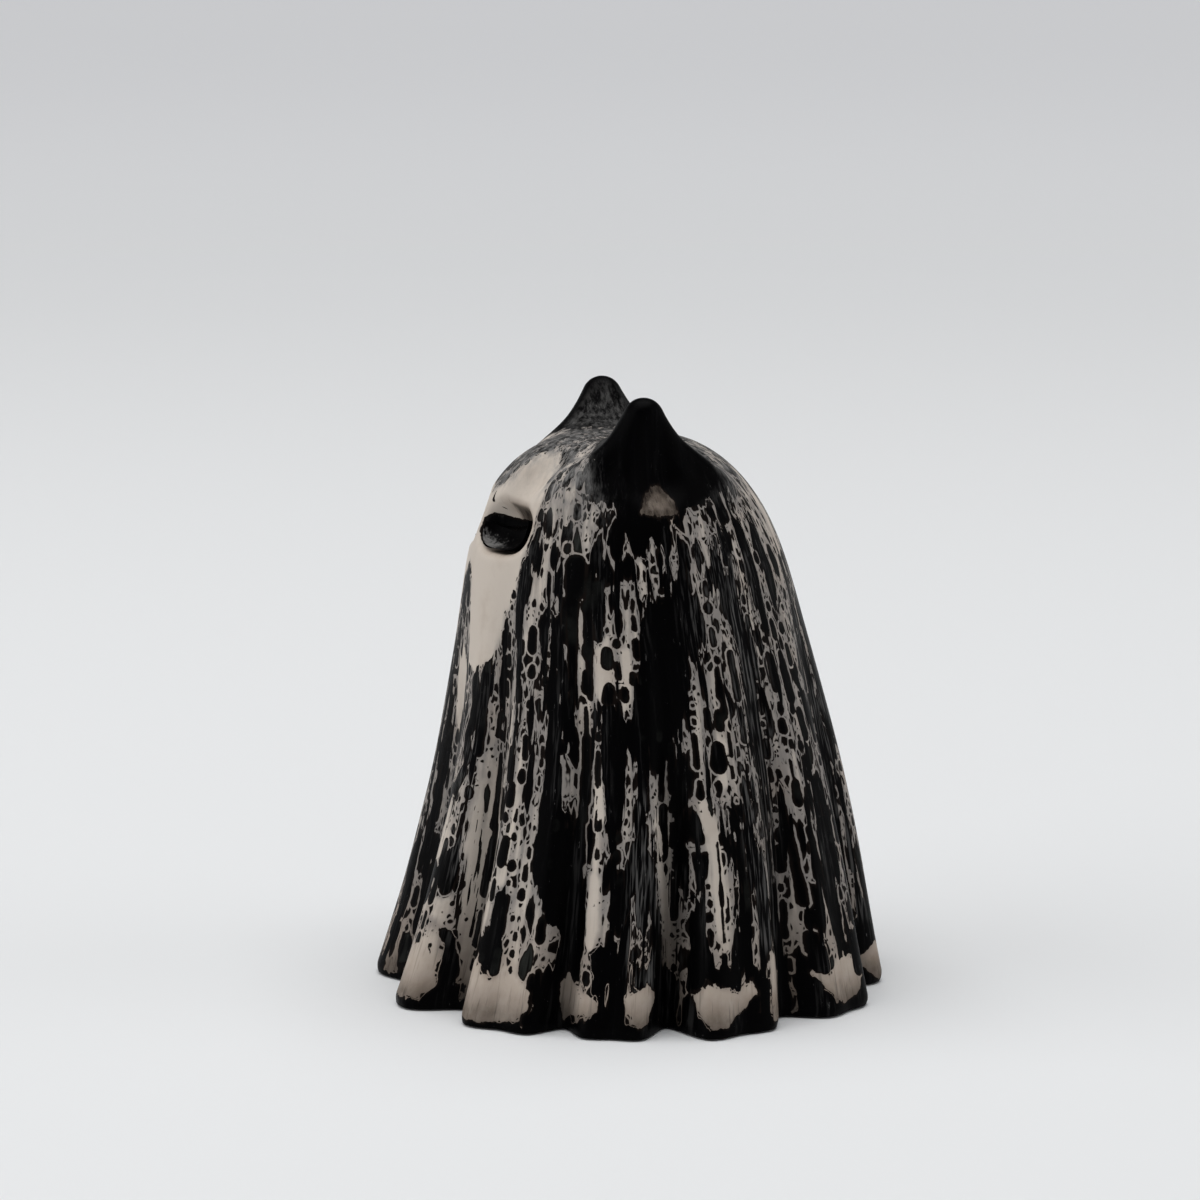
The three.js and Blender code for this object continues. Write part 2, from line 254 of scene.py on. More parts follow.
def head_field(point):
    """The sheet with the ears melted in."""
    left = folded(point)
    cone = tapered_capsule(left, EAR_ROOT, EAR_TIP, EAR_ROOT_RADIUS, EAR_TIP_RADIUS)
    radius = EAR_RIDGE_RADIUS
    ridges = [tapered_capsule(left, EAR_TIP, foot, radius, radius) for foot in RIDGE_FEET]
    ear = smooth_union(cone, np.minimum(*ridges), EAR_RIDGE_MELT)
    return smooth_union(sheet_field(point), ear, EAR_MELT)


def sunk_ball(surface, ball):
    """Centre of a ball that sinks to its depth into the head's surface."""
    return surface + normal_at(head_field, surface) * (ball["radius"] - ball["depth"])


def ear_flank(height):
    """Point of the ear's outer face at a height."""
    middle = np.array([EAR_TIP[0], POCKET_BACK, height])
    return hit(head_field, middle, np.array([1.0, 0, 0]))


EYE_MIDDLE = np.array([EYE_SIDE, lean_at(EYE_HEIGHT), EYE_HEIGHT])
EYE_CENTRE = hit(head_field, EYE_MIDDLE, np.array([0, -1.0, 0]))
EYE_AZIMUTH = np.degrees(np.arctan2(EYE_SIDE / SIDE_STRETCH, EYE_MIDDLE[1] - EYE_CENTRE[1]))


def brow_point(brow):
    """Point of the head where one end of the brow groove lies, counted from the eye."""
    return point_on(head_field, EYE_AZIMUTH + brow["turn"], EYE_HEIGHT + brow["rise"])


BROW = [sunk_ball(brow_point(brow), brow) for brow in (BROW_START, BROW_END)]
POCKET = [sunk_ball(ear_flank(ball["height"]), ball) for ball in (POCKET_TOP, POCKET_FOOT)]


def body_field(point):
    """The whole outside of the body, before the eye sockets are cut."""
    left = folded(point)
    brow = tapered_capsule(left, *BROW, BROW_START["radius"], BROW_END["radius"])
    pocket = tapered_capsule(left, *POCKET, POCKET_TOP["radius"], POCKET_FOOT["radius"])
    browed = smooth_cut(head_field(point), brow, BROW_SOFTNESS)
    return smooth_cut(browed, pocket, POCKET_SOFTNESS)


def eye_axes():
    """Directions of the left eye as rows: across, up and outward."""
    out = normal_at(head_field, EYE_CENTRE)
    across = np.cross((0, 0, 1), out)
    across /= np.linalg.norm(across)
    return np.array([across, np.cross(out, across), out])


EYE_AXES = eye_axes()
WAVES = np.random.default_rng(7).normal(size=(7, 3)) * (0.34, 0.34, 0.17)
WAVE_STARTS = np.random.default_rng(8).uniform(0, tau, 7)


def socket_field(point):
    """Distance-like value of the eye's hollow."""
    scaled = np.abs((folded(point) - EYE_CENTRE) @ EYE_AXES.T / EYE_SIZE)
    reach = (scaled ** EYE_SQUARENESS).sum(-1) ** (1 / EYE_SQUARENESS)
    slope = np.linalg.norm(scaled ** (EYE_SQUARENESS - 1) / EYE_SIZE, axis=-1)
    return (reach - 1) * reach ** (EYE_SQUARENESS - 1) / np.maximum(slope, 1e-6)


def uneven_sheet(point, unevenness):
    """The sheet without its sockets, a little uneven as if rubbed down by hand."""
    waves = np.sin(point @ WAVES.T + WAVE_STARTS).mean(-1)
    return body_field(point) + unevenness * (0.5 + waves)


def finished_field(point, unevenness):
    """The finished outside: the uneven sheet with the sockets cut."""
    return smooth_cut(uneven_sheet(point, unevenness), socket_field(point), SOCKET_SOFTNESS)


def hollow_field(point):
    """The hollow inside, which keeps a wall behind the sheet and behind the sockets."""
    return np.maximum(body_field(point) + WALL, SOCKET_WALL - socket_field(point))


def graded(start, stop, spacing):
    """Positions from start to stop, as far apart as the spacing asks at each place."""
    fine = np.linspace(start, stop, 4001)
    density = 1 / spacing(fine)
    steps = np.concatenate([[0], np.cumsum((density[1:] + density[:-1]) / 2 * np.diff(fine))])
    return np.interp(np.linspace(0, steps[-1], int(np.ceil(steps[-1])) + 1), steps, fine)


def comb(field, azimuths, shares, heights):
    """Rows of surface points from the crown down. The rays fan out from upright to level, and stay
    upright for longer at the sides, where they reach into the ears."""
    beside = np.clip((np.abs(np.sin(np.radians(azimuths))) - 0.6) / 0.25, 0, 1)
    beside = (beside ** 2 * (3 - 2 * beside))[None]
    around = shares[:, None] * pi / 2
    tilt = around * (1 - beside + beside * shares[:, None] ** 2)
    radius = 12 * np.sin(around) * beside
    height = CROWN_START + 8 * np.cos(around)
    level = np.zeros((len(heights), 1))
    height = np.concatenate([height, heights[:, None]]) + 0 * beside
    radius = np.concatenate([radius, level + 0 * beside])
    tilt = np.concatenate([tilt, level + pi / 2 + 0 * beside])
    away = outward(azimuths)[None]
    axis = np.stack([0 * height, lean_at(height), height], -1)
    origin = axis + away * radius[..., None]
    direction = away * np.sin(tilt)[..., None] + np.array([0, 0, 1]) * np.cos(tilt)[..., None]
    return hit(field, origin, direction)


def closed_skin(rows, top, bottom):
    """Vertices and faces of a skin through rows of points, closed by a point at each end."""
    count, around = rows.shape[:2]
    points = np.concatenate([[top], rows.reshape(-1, 3), [bottom]])
    column = np.arange(around)
    following = (column + 1) % around
    upper = 1 + around * np.arange(count - 1)[:, None]
    quads = np.stack([upper + column, upper + around + column,
                      upper + around + following, upper + following], -1).reshape(-1, 4)
    last = 1 + around * (count - 1)
    fan = np.stack([0 * column, 1 + column, 1 + following], -1)
    end = np.stack([last + column, 0 * column + len(points) - 1, last + following], -1)
    return points, fan.tolist() + quads.tolist() + end.tolist()


class Chart:
    """Where points lie on the sheet: azimuth in degrees, height and distance from the axis."""

    def __init__(self, azimuth, height, radius):
        self.azimuth, self.height, self.radius = azimuth, height, radius

    def one_side(self):
        """The same chart with the right side laid over the left."""
        return Chart(np.abs(self.azimuth), self.height, self.radius)

    def place(self, azimuth, height):
        """Steps across and up to a place, in millimetres."""
        turn = np.mod(azimuth - self.azimuth + 180, 360) - 180
        return np.stack([np.radians(turn) * self.radius, height - self.height], -1)

    def drop(self, start, end, start_radius, end_radius):
        """Depth inside a drop of paint that runs from start to end."""
        origin = self.place(*start)
        turn = np.radians(end[0] - start[0]) * self.radius
        run = np.stack([turn, np.broadcast_to(end[1] - start[1], turn.shape)], -1)
        share = -(origin * run).sum(-1) / np.maximum((run ** 2).sum(-1), 1e-9)
        share = np.clip(share, 0, 1)
        gap = np.linalg.norm(origin + run * share[..., None], axis=-1)
        return start_radius + (end_radius - start_radius) * share - gap

    def patch(self, corners):
        """Depth inside a patch given by its corners."""
        first = self.place(*corners[0])
        turns = [np.radians(azimuth - corners[0][0]) * self.radius for azimuth, _ in corners]
        drawn = [first + np.stack([turn, 0 * turn + height - corners[0][1]], -1)
                 for turn, (_, height) in zip(turns, corners)]
        nearest = np.full(self.radius.shape, np.inf)
        inside = np.zeros(self.radius.shape, bool)
        for a, b in zip(drawn, drawn[1:] + drawn[:1]):
            edge = b - a
            share = np.clip(-(a * edge).sum(-1) / np.maximum((edge ** 2).sum(-1), 1e-9), 0, 1)
            nearest = np.minimum(nearest, np.linalg.norm(a + edge * share[..., None], axis=-1))
            crosses = (a[..., 1] > 0) != (b[..., 1] > 0)
            slope = np.where(crosses, b[..., 1] - a[..., 1], 1)
            inside ^= crosses & (a[..., 0] - a[..., 1] * edge[..., 0] / slope > 0)
        return np.where(inside, nearest, -nearest)


# Places of the paint are azimuth in degrees and height in millimetres. Many corners were picked by
# eye on the picture and turned into these numbers by a camera calculation outside this script.
CROWN_PAINT = 57.5              # height where the crown's own cover of black starts
BARE_CENTRE = 4.2               # the ears' black stays this far from the middle plane

# Bare places that are alike on both sides: brow, nose and cheek, and a spot below each ear
BARE_BOTH = (
    ((-4, 51.5), (-4, 57), (2, 58.6), (7.7, 59.4), (11, 61.3), (14.4, 62.7), (22.8, 63.3),
     (30.4, 62.5), (34, 60.9), (40, 59.8), (39, 57.6), (38.3, 56.3), (38.9, 54.1), (37.5, 52.2),
     (35.7, 50.3), (34, 48), (30.4, 45.5), (28.4, 42.5), (26, 39.8), (18, 38.2), (11, 38.8), (8.5, 43),
     (6, 48)),
    ((92.8, 60.6), (85.5, 59.6), (83, 58.3), (82, 57.2), (90.6, 56.9), (98.5, 57.1), (98.8, 58.8)),
)

# Bare places on the left side and along the hem
BARE_LEFT = (
    ((3, 40), (9, 38), (9, 33), (5, 30), (1, 33), (0, 38)),
    ((81.4, 52.2), (82.6, 52.2), (83.4, 48.8), (82, 48.3)),
    ((65.6, 42.5), (69.5, 43.6), (71, 40.5), (69.5, 36.6), (66, 37)),
    ((74, 42.6), (76.4, 42), (76.6, 37.5), (74.6, 36)),
    ((66, 28), (68, 27.5), (68.6, 23.8), (66, 23.5)),
    ((65.4, 17.6), (68, 17.2), (68.6, 12), (67.6, 9.8), (66, 10)),
    ((82.6, 23.6), (83.6, 23), (84.8, 19), (86.8, 14.5), (88.4, 9), (88, 6.4), (86.6, 7), (84.8, 12),
     (83.2, 18)),
    ((94, 25.6), (96.6, 26), (99.2, 21), (100, 14), (99.4, 9.6), (97.8, 9.4), (97, 15), (96.2, 20)),
    ((101.6, 33.2), (103.4, 32), (102, 27.6), (100, 27)),
    ((110.5, 9), (114.5, 8), (118, 5.5), (117, 1.2), (110.5, 1)),
)

# Bare patches worn along the hem, one to a ridge, each with a pointed foot
BARE_HEM = (
    ((14, 2.2), (14.2, 5), (17.2, 5.8), (19.4, 7.6), (23.4, 8), (26, 5.4), (26.6, 3), (24.4, 1.5),
     (20, 1.2), (16.5, 1.2)),
    ((31, 4.6), (35, 5.4), (40, 4.6), (46, 5.4), (51, 6), (55, 4.8), (55.6, 2.6), (50, 1.2), (42, 0.8),
     (35, 0.8), (31, 1.8)),
    ((59.6, 3.8), (61, 7.8), (63, 6), (66, 4.6), (69.6, 4.8), (70.4, 3.2), (66, 2.2), (61.5, 1.2)),
    ((76.2, 4.8), (79, 5.6), (81.6, 6.6), (83.4, 4.6), (82.2, 2), (80, 1.1), (77.6, 2.4)),
    ((91.6, 4.6), (94.6, 6.6), (97.6, 5.4), (102, 5), (105.6, 6.2), (107, 4.4), (103, 3), (98.6, 1.2),
     (95.4, 1.4), (93, 2.6)),
    ((124, 5.4), (128, 5), (133, 6.8), (138, 6), (139.6, 3.6), (136, 1.6), (131, 1.2), (127, 2.8)),
)

# Solid black places: over both ears and under them, and the masses that run down the left side
BLACK_BOTH = (
    (54, 64), (59, 62.8), (61, 60.7), (67, 59), (71, 57.8), (69.4, 55.6), (68.4, 54), (72, 53.4),
    (76, 54.2), (80.4, 53), (84, 52.4), (88, 53.8), (92, 52.9), (96.7, 55.6), (101, 56.6),
    (106, 57.2), (111, 57.6), (117, 58), (126, 59.2), (130, 60.5), (128, 62.3), (135, 64.2),
    (135, 80), (45, 80),
)
BLACK_LEFT = (
    ((50, 46.6), (53.8, 46.5), (54, 38.9), (56, 29.6), (57.4, 25.7), (60.1, 20.1), (63, 12.4),
     (58.7, 10.8), (54.6, 12.1), (50, 17.8), (49.6, 25.5), (50, 30), (50, 38.8)),
    ((67.6, 38.6), (69.4, 36.6), (73, 36.2), (76.6, 35), (76.6, 32.2), (74.4, 28.3), (73, 22.9),
     (72, 19.8), (69.6, 20.6), (67.2, 26), (66.8, 32.5)),
    ((81.4, 45.6), (86.7, 47.6), (93.6, 48.6), (94.6, 43.5), (93.4, 36.9), (90.8, 32.5), (88.6, 30),
     (85.4, 26), (82, 29.4), (79.4, 32.7), (78.6, 38.2), (79.6, 42.6)),
    ((85.4, 26.6), (90.2, 26.2), (92.8, 19.5), (93.6, 13), (93.2, 5.5), (91.8, 5.2), (90, 11.3),
     (87.4, 17.9)),
    ((101.2, 25.4), (104.4, 25.4), (103, 20.8), (105.2, 16.9), (106.4, 11.4), (107, 4.8),
     (104, 5.5), (102.2, 10.6), (101.4, 17.1)),
    ((122.8, 51.2), (130.6, 51), (131, 44), (128.2, 43), (126, 47.1)),
    ((97.5, 8.2), (101, 8), (101, 4.6), (99, 4.4)),
    ((15, 15.6), (18, 17), (21, 19.4), (25, 20), (27.4, 17), (27, 13), (23, 12.2), (19, 13.4), (16, 13)),
    ((15.4, 6.4), (16, 9.4), (19, 11), (24, 10.8), (28.4, 8.6), (29, 5), (26.4, 6.4), (23.4, 9), (19.4, 8.6),
     (17.4, 6.6)),
    ((39, 15.6), (44, 16.2), (46.8, 14.2), (46.4, 11), (48.4, 8), (46, 6), (41.6, 5.6), (37.4, 7),
     (36, 9.6), (39.4, 12)),
    ((65.4, 9.6), (69, 10.4), (72, 11.6), (74, 10.6), (74.8, 6), (72.3, 5.8), (69.7, 7.2), (67.4, 7)),
)

# Drops that lie over everything: start, end and the radius at each
DROPS = (
    ((58.5, 51.6), (59, 49), 1.35, 1.3), ((58, 49), (58.1, 35.5), 0.95, 0.4),
    ((63.7, 51.6), (63.6, 44), 0.4, 0.75), ((63.6, 44), (63.6, 37), 0.7, 0.4),
    ((66.6, 49.6), (67.2, 45.6), 0.75, 0.9), ((4.4, 58.2), (4.3, 57.2), 0.18, 0.26),
    ((6.8, 56.5), (6.8, 56.3), 0.16, 0.16), ((36, 62.4), (36.6, 61.4), 0.3, 0.4),
    ((42.6, 60.3), (43.6, 58.8), 0.4, 0.5), ((41.6, 57.2), (41.2, 56.4), 0.35, 0.4),
    ((41.8, 55.2), (41.2, 53.4), 0.35, 0.42), ((57.2, 58), (57.4, 57), 0.42, 0.55),
    ((69.6, 42.2), (69.6, 41), 0.75, 0.82), ((72.8, 40.8), (72.8, 39.6), 0.42, 0.48),
    ((69.9, 38.2), (69.4, 37), 0.75, 0.8), ((74.6, 38), (74.6, 37.2), 0.58, 0.62),
    ((77.2, 39.9), (77.2, 39), 0.4, 0.48), ((62.4, 32.4), (62.4, 25.6), 0.6, 0.75),
    ((61.6, 23.6), (62, 19), 0.4, 0.7), ((73.4, 18.2), (73.2, 13.6), 0.5, 1.25),
    ((73.2, 13.6), (73.6, 11.6), 1.2, 0.5), ((104.4, 40), (104.3, 37.2), 0.4, 0.62),
    ((102.6, 35.2), (102.6, 33.8), 0.6, 0.68), ((101, 31.4), (100.8, 29.8), 0.95, 1.2),
    ((100, 27.6), (100, 27), 0.42, 0.46), ((98, 21.4), (98.6, 10.4), 0.18, 0.3),
    ((98.2, 17), (98.3, 14.6), 0.3, 0.36), ((132, 39.2), (132.4, 35.8), 0.85, 0.9),
    ((135, 33.8), (135.4, 31.4), 0.75, 0.8), ((128, 21), (132.4, 8.4), 0.6, 0.5),
    ((122.6, 24), (124.4, 13), 0.35, 0.6), ((19.2, 37.2), (21.6, 34.8), 0.95, 1.1),
    ((22, 34), (20, 31.6), 1.0, 0.9), ((19.4, 31), (21.4, 28.6), 0.8, 0.9),
    ((21, 27), (18.6, 24.8), 0.8, 0.9), ((15.5, 24.4), (13, 20.8), 0.9, 1.1),
    ((16.6, 15.4), (16, 12.6), 1.1, 1.3), ((1.6, 13.6), (2.2, 10.4), 0.9, 0.95),
    ((-1, 30.4), (-1, 19.6), 0.5, 0.6), ((41.6, 20.6), (41.2, 18.4), 0.7, 0.9),
    ((34.6, 20.6), (34.4, 16.6), 1.1, 1.5), ((36.5, 25.4), (36.5, 23.2), 0.75, 0.95),
    ((41, 26.6), (41, 25), 0.6, 0.8), ((44, 32), (44.2, 30), 0.45, 0.5),
    ((39, 30.4), (39.2, 28.7), 0.6, 0.75), ((30, 34), (29.6, 31.4), 0.3, 0.42),
    ((125, 9.4), (125, 7.7), 0.6, 0.7), ((138, 8.2), (138.4, 4.6), 0.8, 1.0),
)

# Places that were gone over with a dry brush: how strongly, and the corners
BRUSHED = (
    (1.0, ((75.4, 27), (83.4, 26), (84, 14), (83, 5), (76, 5))),
    (0.7, ((83, 18), (90, 18), (91, 1.5), (84, 1.5))),
    (1.0, ((118, 52), (127, 52), (125, 44), (124, 36), (121, 25), (118, 9), (108, 9), (106, 25),
           (108, 36), (112, 44))),
    (0.8, ((10, 30), (24, 30), (31, 18), (32, 8), (27, 8), (22, 18), (10, 18))),
    (0.6, ((100, 55), (116, 55), (108, 42), (98, 44))),
    (0.8, ((148, 50), (160, 50), (158, 8), (150, 8))),
    (0.8, ((205, 48), (216, 48), (214, 10), (206, 10))),
    (0.8, ((262, 50), (274, 50), (272, 8), (264, 8))),
    (0.8, ((288, 40), (298, 40), (298, 6), (290, 6))),
)

# Share of black over the sheet, as azimuth, height, share
COVER = (
    (-8, 45, 0.45), (-8, 30, 0.6), (-8, 15, 0.65), (2, 45, 0.4), (4, 24, 0.3), (4, 12, 0.25),
    (12, 24, 0.5), (12, 12, 0.5), (20, 45, 0.1), (24, 33, 0.35), (28, 25, 0.45), (30, 12, 0.5),
    (20, 24, 0.0), (18, 18, -0.3), (21, 11, -0.3), (15, 7, -0.2), (20, 0, 0.9), (37, 50, 0.42),
    (38, 44, 0.46), (36, 36, 0.5), (36, 28, 0.3), (36, 20, 0.0), (34, 14, -0.35), (33, 8, -0.35),
    (40, 8, -0.2), (38, 18, -0.2), (31, 3, 0.9), (47, 57, 0.2), (44, 50, 0.46), (45, 40, 0.5),
    (44, 30, 0.45), (42, 21, 0.1), (47, 20, 0.4), (51, 10, 0.3), (48, 14, 0.2), (58.5, 4, 0.9),
    (73, 3, 0.95), (87, 3, 0.95), (91, 4, 0.95), (110, 4, 0.9), (56, 56, 0.15), (56, 46, 0.45),
    (54, 34, 0.6), (55, 22, 0.7), (58, 12, 0.7), (65, 56, 0.4), (61, 48, 0.35), (61.5, 40, 0.25),
    (61.5, 30, 0.25), (66, 44, 0.2), (65, 33, 0.35), (63, 22, 0.45), (66, 12, 0.4), (72, 50, 0.5),
    (72, 40, 0.2), (77, 47, 0.62), (78, 27, 0.4), (79, 14, 0.65), (84, 50, 0.62), (86, 38, 0.8),
    (84, 28, 0.65), (87, 10, 0.35), (94, 50, 0.55), (96, 44, 0.62), (100, 40, 0.48),
    (101, 34, 0.15), (99, 26, 0.2), (98, 15, 0.15), (104, 22, 0.6), (105, 10, 0.75), (120, 5, 0.9),
    (145, 4, 0.9), (105, 52, 0.48), (106, 44, 0.55), (110, 34, 0.7), (112, 22, 0.7),
    (112, 12, 0.65), (116, 53, 0.5), (119, 42, 0.62), (120, 30, 0.6), (122, 16, 0.5),
    (128, 53, 0.6), (133, 44, 0.35), (130, 34, 0.5), (128, 24, 0.6), (126, 10, 0.4), (138, 16, 0.6),
    (142, 50, 0.25), (152, 56, 0.0), (164, 55, 0.0), (142, 38, 0.55), (143, 25, 0.55),
    (142, 11, 0.5), (156, 50, 0.2), (156, 35, 0.6), (156, 18, 0.6),
)


def hidden_cover():
    """Shares of black for the sides that the photographed ones leave open."""
    random = np.random.default_rng(31)
    azimuths = np.arange(170, 350, 13)
    return [(azimuth + random.uniform(-4, 4), height + random.uniform(-4, 4),
             random.uniform(0.3, 0.95))
            for azimuth in azimuths for height in (8, 22, 36, 50)]


def hidden_patches():
    """Worn patches along the rest of the hem, one to each ridge, each with its own height."""
    random = np.random.default_rng(12)
    patches = []
    for ridge in FOLDS[10:, 0]:
        middle = ridge + random.uniform(-2, 2)
        half = random.uniform(3.5, 6.5)
        top = random.uniform(4.5, 8.5)
        patches.append(((middle - half, top * 0.6), (middle - 1, top), (middle + half, top * 0.7),
                        (middle + half * 0.9, 2.6), (middle + random.uniform(-2, 2), 0.3),
                        (middle - half * 0.8, 2.4)))
    return patches


def hidden_drops():
    """Large drops for the rest of the sheet, in loose strings down the folds."""
    random = np.random.default_rng(5)
    drops = []
    for azimuth in np.arange(150, 352, 8.5):
        height = random.uniform(44, 52)
        drift = azimuth + random.uniform(-3, 3)
        while height > 8:
            length = random.uniform(0.4, 1) ** 2 * 9
            radius = random.uniform(0.5, 1.15)
            if random.random() < 0.62:
                bend = random.uniform(-1, 1)
                drops.append(((drift, height), (drift + bend, height - length),
                              radius, radius * random.uniform(0.4, 1.1)))
                drift += bend
            height -= length + 2 * radius + random.uniform(0.3, 4)
    return drops


def small_drops():
    """Strings of small drops down the whole sheet, close together and each of its own length."""
    random = np.random.default_rng(23)
    drops = []
    for azimuth in np.arange(-176, 180, 5.4):
        height = random.uniform(40, 54)
        drift = azimuth + random.uniform(-1.5, 1.5)
        while height > 6:
            radius = random.uniform(0.22, 0.72)
            length = radius * random.choice((0.3, 1.0, 3.0, 8.0), p=(0.25, 0.3, 0.3, 0.15))
            if random.random() < 0.8:
                drops.append(((drift, height), (drift, height - length), radius * 0.85, radius))
            drift += random.uniform(-0.5, 0.5)
            height -= length + 2 * radius + random.uniform(0.1, 1.1)
    return drops


def most(depths):
    """Depth inside any of several shapes."""
    return np.maximum.reduce(list(depths))


def paint_masks(chart, point):
    """The poured paint, with painted shade and sheen, as numbers on the sheet: depths in millimetres and
    shares from 0 to 1.
    """
    both = chart.one_side()
    socket = socket_field(point)
    across, up, out = np.moveaxis((folded(point) - EYE_CENTRE) @ EYE_AXES.T, -1, 0)
    below_rim = -1.1 - 0.55 * np.clip(up - 0.5, 0, 2) - out
    below_line = SOCKET_PAINT - up + across * np.tan(radians(SOCKET_PAINT_TILT))
    in_socket = np.clip(0.6 - across * 0.25, 0.4, 1.6) - socket - np.clip(-up - 0.4, 0, 1) * 1.2
    off_nose = np.abs(point[:, 0]) - np.where(point[:, 0] > 0, 0, 1.5)
    inked = -most((-below_rim, -below_line, -in_socket, -off_nose))
    # Painted shade on the upper wall of each socket, which faces down; it fades out toward the nose
    ceiling = np.clip(0.9 - socket, 0, 1) * np.clip((across + 3.8) / 2.6, 0, 1)
    bare = most([0.9 - socket] + [both.patch(corners) for corners in BARE_BOTH]
                + [chart.patch(corners) for corners in BARE_LEFT + BARE_HEM]
                + [chart.patch(corners) for corners in hidden_patches()])
    ears = np.minimum(both.patch(BLACK_BOTH), np.abs(point[:, 0]) - BARE_CENTRE)
    black = most([ears] + [chart.patch(corners) for corners in BLACK_LEFT])
    hem = 1.6 + 0.8 * np.sin(np.radians(chart.azimuth * 11)) - chart.height
    drops = most([chart.drop(*drop) for drop in list(DROPS) + hidden_drops() + small_drops()])
    blots = np.maximum(most([chart.drop(*drop) for drop in DROPS]), inked)
    weights = np.full(chart.height.shape, 1e-4)
    cover = 0.6 * weights
    for azimuth, height, share in list(COVER) + hidden_cover():
        across, up = np.moveaxis(chart.place(azimuth, height), -1, 0)
        weight = np.exp(-(across / 3.2) ** 2 - (up / 4.5) ** 2)
        weights = weights + weight
        cover = cover + weight * share
    crown = np.clip((chart.height - CROWN_PAINT) / 2.5, 0, 1)
    open_brow = 0.4 * np.exp(-((both.azimuth - 48) / 12) ** 2)
    open_back = 0.5 * np.exp(-((both.azimuth - 158) / 14) ** 2)
    off_top = np.clip((chart.radius - 3) / 7, 0, 1)
    cover = cover / weights * (1 - crown) + (0.62 - (open_brow + open_back) * off_top) * crown
    lace = np.clip((chart.height - 51) / 6, 0, 1) * np.clip(1 + ears / 4, 0, 1) * (1 - crown)
    beside_ear = np.exp(-((both.azimuth - 55) / 9) ** 2 - ((chart.height - 60) / 3.2) ** 2)
    veil_and_sheen = np.maximum(crown * np.clip(0.3 - ears / 3, 0, 1), 1.3 * beside_ear * np.clip(1 - ears, 0, 1))
    # Painted sheen: a lighter grey on the inner sides of the ears
    painted_ear_sheen = np.clip(ears, 0, 1) * np.clip((11 - np.abs(point[:, 0])) / 2, 0, 1)
    veil_and_sheen = np.maximum(veil_and_sheen, 0.4 * painted_ear_sheen)
    brush = most([strength * np.clip(chart.patch(corners) / 1.5 + 0.5, 0, 1)
                  for strength, corners in BRUSHED])
    # Darker toward the hem, and darker round the bare spot below each ear
    shade_and_darkening = np.clip((14 - chart.height) / 12, 0, 1)
    below_ear = both.patch(BARE_BOTH[1])
    shade_and_darkening = np.maximum(shade_and_darkening, np.clip(below_ear + 1, 0, 1) * (1.35 - np.clip(below_ear, 0, 1) * 0.3))
    # The painted shade of the socket walls joins in
    shade_and_darkening = np.maximum(shade_and_darkening, ceiling * 1.25)
    # How deep the fold valleys are, from 0 to 1, which sets the painted shade in them
    deep = np.clip(-fold_offset(chart.azimuth, chart.height) - 0.4, 0, 3) / 3
    return {
        "bare": bare, "black": most((black, hem, inked * 4)), "drops": drops, "cover": cover,
        "lace": lace, "veil_and_sheen": veil_and_sheen, "shade_and_darkening": shade_and_darkening, "brush": brush, "deep": deep, "blots": blots,
    }


class Value:
    """An output of a shader node that takes part in Python arithmetic."""

    def __init__(self, graph, socket):
        self.graph, self.socket = graph, socket

    def other(self, name):
        """Another output of the same node."""
        return Value(self.graph, self.socket.node.outputs[name])

    def math(self, operation, *others):
        """One Math node on this value and others."""
        values = dict(enumerate((self,) + others))
        return self.graph.add("ShaderNodeMath", {"operation": operation}, values)

    def __add__(self, other):
        return self.math("ADD", other)

    def __sub__(self, other):
        return self.math("SUBTRACT", other)

    def __mul__(self, other):
        return self.math("MULTIPLY", other)

    def __truediv__(self, other):
        return self.math("DIVIDE", other)

    def __neg__(self):
        return self.math("MULTIPLY", -1.0)

    def __rsub__(self, other):
        return self.graph.add("ShaderNodeMath", {"operation": "SUBTRACT"}, {0: other, 1: self})

    __radd__ = __add__
    __rmul__ = __mul__

    def most(self, other):
        """The larger of two values."""
        return self.math("MAXIMUM", other)

    def least(self, other):
        """The smaller of two values."""
        return self.math("MINIMUM", other)

    def ramp(self, low, high):
        """0 below low and 1 above high, with a soft step between."""
        settings = {"interpolation_type": "SMOOTHSTEP"}
        values = {"Value": self, "From Min": low, "From Max": high}
        return self.graph.add("ShaderNodeMapRange", settings, values)


